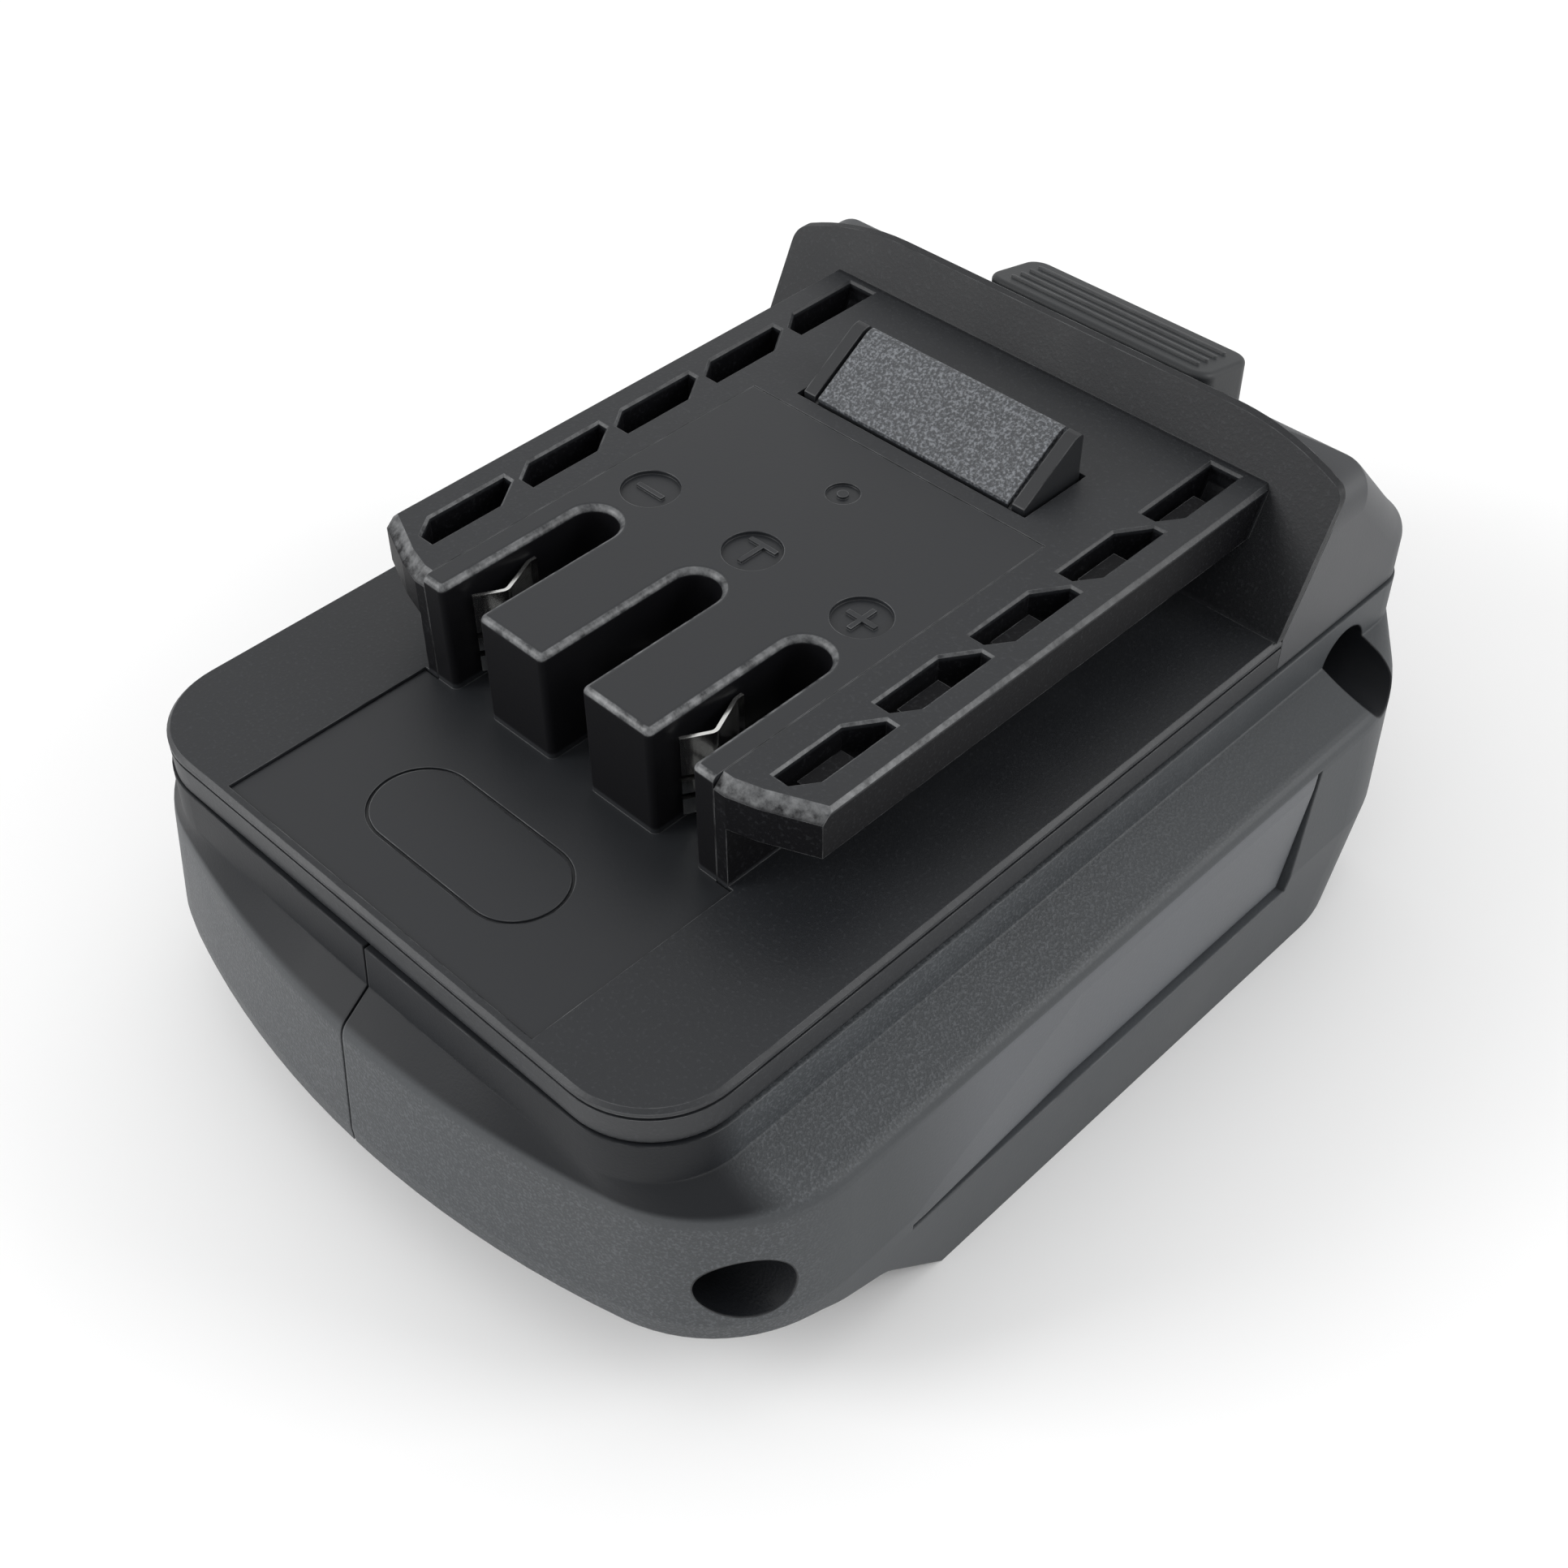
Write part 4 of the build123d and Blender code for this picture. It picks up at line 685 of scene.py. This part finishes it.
def moulded(name, colour, roughness, grain, depth, glint_paint=0.0, wear=0.0, edge=0.35, peaks=(0.54, 0.72),
            zone=None, coarse=None, crown=None, shade=None):
    """Moulded plastic. Grain, depth and edge are in mm, and each zone holds its mask and its own finish."""
    paint, tree, shader = new_paint(name)
    place = node(tree, "ShaderNodeTexCoord").outputs["Object"]
    rounded = node(tree, "ShaderNodeBevel", samples=EDGE_SAMPLES, Radius=edge * MM).outputs["Normal"]
    straight = node(tree, "ShaderNodeNewGeometry").outputs["Normal"]
    broad = noise(tree, place, BROAD_SCALE, BROAD_DETAIL, BROAD_ROUGHNESS)
    fine = noise(tree, place, 1 / (grain * MM), FINE_DETAIL, FINE_ROUGHNESS)
    skin = toned(tree, broad, colour)
    gloss = uneven(tree, broad, roughness)
    shine = SHINE
    bump_depth = depth * MM
    coarse_mask = None
    if zone:
        zone_mask = zone["where"](tree, place)
        skin = mixed(tree, zone_mask, skin, toned(tree, broad, zone["colour"]))
        zone_gloss = uneven(tree, broad, zone["roughness"])
        gloss = node(tree, "ShaderNodeMix", Factor=zone_mask, A=gloss, B=zone_gloss).outputs["Result"]
    if coarse:
        coarse_mask = coarse["where"](tree, place)
        bump_depth = inside(tree, coarse_mask, depth * MM, coarse["depth"] * MM)
    if glint_paint or coarse:
        # Painted glints: the light speck colour on the peaks of the grain
        skin = mixed(tree, painted_glints(tree, fine, peaks, glint_paint, coarse, coarse_mask), skin, PAINTED_GLINT_COLOUR)
    # Painted shade: a darker, duller colour inside the shade mask
    if shade:
        shade_mask = shade["where"](tree, place)
        skin = mixed(tree, shade_mask, skin, toned(tree, broad, shade["colour"]))
        shine = inside(tree, shade_mask, SHINE, shade["shine"])
    if wear:
        skin = mixed(tree, worn_edges(tree, place, rounded, straight, wear), skin, WORN_COLOUR)
    if crown:
        band = crown["where"](tree, place, straight)
        skin = mixed(tree, scuffs(tree, place, band, crown["wear"]), skin, SCUFF_COLOUR)
    if zone and "shine" in zone:
        shine = inside(tree, zone_mask, SHINE, zone["shine"])
    bump = node(tree, "ShaderNodeBump", Distance=bump_depth, Height=fine, Normal=rounded)
    normal = bump.outputs["Normal"]
    coat(tree, shader, Base_Color=skin, Roughness=gloss, Specular_IOR_Level=shine, Normal=normal)
    paints[name] = paint
    print(name, "grain", grain, "mm")


print("moulded plastic has specks, worn edges and up to four zones")

# %% [markdown]
# ## Metal
# The contacts, blades, springs and screws are drawn or rolled, which leaves faint lines along the metal.
# Real anisotropic reflection is one way to show them, but at this size a stretched noise that changes the
# tone and the gloss a little looks the same and bakes well.

# %% Metal
LINE_DETAIL = 3.0
METAL_SHADE = 0.82
METAL_GLOSS_RANGE = 0.08
DRAWN = (1, 1, 0.15)


def metal(name, colour, roughness, brush, depth):
    """Drawn or rolled metal with faint lines. Brush and depth are in mm."""
    paint, tree, shader = new_paint(name)
    place = node(tree, "ShaderNodeTexCoord").outputs["Object"]
    drawn = node(tree, "ShaderNodeMapping", Vector=place, Scale=DRAWN).outputs["Vector"]
    lines = noise(tree, drawn, 1 / (brush * MM), LINE_DETAIL)
    tone = node(tree, "ShaderNodeValToRGB", Fac=lines)
    dark, light = tone.color_ramp.elements
    dark.color = tuple(c * METAL_SHADE for c in colour) + (1,)
    light.color = tuple(colour) + (1,)
    gloss = spread(tree, lines, (0, 1), roughness - METAL_GLOSS_RANGE, roughness + METAL_GLOSS_RANGE)
    normal = node(tree, "ShaderNodeBump", Distance=depth * MM, Height=lines).outputs["Normal"]
    coat(tree, shader, Base_Color=tone.outputs["Color"], Metallic=1.0, Roughness=gloss, Normal=normal)
    paints[name] = paint
    print(name, "lines", brush, "mm")


print("metal is darker by", round(1 - METAL_SHADE, 2), "in its lines")

# %% [markdown]
# ## The tray and the insert
# Both are the same near-black plastic, moulded apart, so they share a colour and differ a little in grain.
# Their upright faces get painted shade, a darker and duller colour, and the sloping edges are scuffed. The
# insert wears a little more, because its fingers guide the tool's blades.

# %% Finish of the tray and the insert
TRAY_COLOUR = (0.0105, 0.0118, 0.0142)
# Painted shade on the upright faces: a near-black colour, duller and less shiny
upright = {"where": rail_side_shade, "colour": (0.003, 0.003, 0.004), "roughness": 0.55, "shine": 0.15}

moulded("tray_plastic", TRAY_COLOUR, roughness=0.48, grain=0.4, depth=0.02, glint_paint=0.02,
        wear=0.6, edge=0.16, zone=upright, crown={"where": rail_crown, "wear": 0.5})
moulded("insert_plastic", TRAY_COLOUR, roughness=0.44, grain=0.35, depth=0.008,
        wear=0.6, edge=0.16, zone=upright, crown={"where": rail_crown, "wear": 0.6})

# %% [markdown]
# ## The case and the rear cover
# The two case halves are dark grey with a visible grain. They carry the smooth panels, the coarse shoulders
# with painted glints, and the painted shade. The rear cover is one plain piece of a slightly lighter grey,
# so it needs no zones.

# %% Finish of the case and the rear cover
panel = {"where": panel_zone, "colour": (0.072, 0.077, 0.085), "roughness": 0.4}
etched_and_glints = {"where": coarse_zone, "glint_paint": 0.08, "depth": 0.07}
# Painted shade in the front band and the screw recesses: a near-black, duller colour
dark = {"where": shade_zone, "colour": (0.009, 0.010, 0.012), "shine": 0.2}

moulded("case_plastic", (0.033, 0.037, 0.041), roughness=0.5, grain=0.3, depth=0.018, glint_paint=0.01,
        wear=0.25, peaks=(0.46, 0.7), zone=panel, coarse=etched_and_glints, shade=dark)
moulded("cover_plastic", (0.046, 0.048, 0.052), roughness=0.5, grain=0.35, depth=0.012, wear=0.3)

# %% [markdown]
# ## The hook and the release button
# The hook shares its plastic with the slider below it, and only its face between the slits is grained, so
# one material serves both with a zone for the face. The button behind the wall is the same kind of plastic,
# smooth and slightly rubbed by fingers.

# %% Finish of the hook and the button
hook_face = {"where": hook_zone, "colour": (0.045, 0.048, 0.053), "roughness": 0.4}
hook_grain_and_glints = {"where": hook_zone, "glint_paint": 0.3, "depth": 0.14}

moulded("latch_plastic", (0.012, 0.013, 0.015), roughness=0.45, grain=0.32, depth=0.01,
        wear=0.5, edge=0.25, peaks=(0.42, 0.7), zone=hook_face, coarse=hook_grain_and_glints)
moulded("button_plastic", (0.014, 0.016, 0.018), roughness=0.5, grain=0.3, depth=0.01, wear=0.3)

# %% [markdown]
# ## The pieces inside
# The socket for the battery pack is plain black, with slightly rubbed edges. Above it are an insulating
# block, a green circuit board with a chip, a capacitor and a fuse, and three leads. Nothing touches them in
# use, so each has only its tone and a fine grain. They could do with plain colours, but the same call as
# for the housing is just as short.

# %% Finishes of the pieces inside
moulded("socket_plastic", (0.014, 0.015, 0.017), roughness=0.5, grain=0.3, depth=0.01, wear=0.1)
moulded("insulator_plastic", (0.010, 0.010, 0.012), roughness=0.45, grain=0.3, depth=0.008)
moulded("board_laminate", (0.012, 0.09, 0.045), roughness=0.3, grain=0.8, depth=0.005)
moulded("chip_epoxy", (0.02, 0.02, 0.022), roughness=0.6, grain=0.2, depth=0.01)
moulded("capacitor_sleeve", (0.02, 0.03, 0.12), roughness=0.3, grain=1.5, depth=0.004)
moulded("fuse_ceramic", (0.6, 0.57, 0.5), roughness=0.3, grain=0.5, depth=0.004)
moulded("lead_black", (0.015, 0.015, 0.016), roughness=0.45, grain=0.4, depth=0.01)
moulded("lead_white", (0.6, 0.6, 0.57), roughness=0.45, grain=0.4, depth=0.01)
moulded("lead_red", (0.35, 0.015, 0.015), roughness=0.45, grain=0.4, depth=0.01)

# %% [markdown]
# ## The metals
# The folded contacts are bright and smooth, because the tool's blades slide in them. The blades of the
# socket are brass, the springs are steel wire, and the screws are dark steel. One helper serves all four,
# which differ in colour, in roughness and in how coarse their lines are.

# %% Finishes of the metals
metal("contact_metal", (0.86, 0.86, 0.84), roughness=0.16, brush=0.2, depth=0.002)
metal("blade_metal", (0.72, 0.55, 0.27), roughness=0.3, brush=0.2, depth=0.004)
metal("spring_steel", (0.62, 0.62, 0.63), roughness=0.28, brush=0.15, depth=0.002)
metal("screw_steel", (0.32, 0.32, 0.33), roughness=0.35, brush=0.2, depth=0.004)

# %% [markdown]
# ## Finishes on the pieces
# Every CAD piece already names the finish that it wants. Materials could be dragged on one by one, but a
# loop over the record does it for all pieces and can't forget one.

# %% Finishes for the CAD nodes
for row in frame["record"]["subparts"]:
    mesh = nodes[row["node"]].data
    mesh.materials.clear()
    mesh.materials.append(paints[row["material_slot"]])
print("finishes:", len(paints))

# %% [markdown]
# ## Merged copies of the springs
# Two springs stand in the case and push the latch up. When the button is pressed, the latch comes down and
# both springs get shorter. Here each spring is shown by a merged copy of its solid, which is tied to the
# housing, while the CAD piece is hidden. The copies keep the solid's length.

# %% Merged copies of the springs
MERGE_DISTANCE = 1e-6

for name in ("latch_spring_left", "latch_spring_right"):
    work = bmesh.new()
    work.from_mesh(nodes[name].data)
    bmesh.ops.remove_doubles(work, verts=work.verts, dist=MERGE_DISTANCE)
    mesh = bpy.data.meshes.new(name + "_coil")
    work.to_mesh(mesh)
    work.free()
    mesh.materials.append(paints["spring_steel"])
    coil = bpy.data.objects.new(name + "_coil", mesh)
    scene.collection.objects.link(coil)
    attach(coil, "housing")
    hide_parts(name)
    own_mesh(coil)

# %% [markdown]
# ## Colours as written
# The Standard view shows colours as they are written. A filmic view would grey the white ground.

scene.view_settings.view_transform = "Standard"
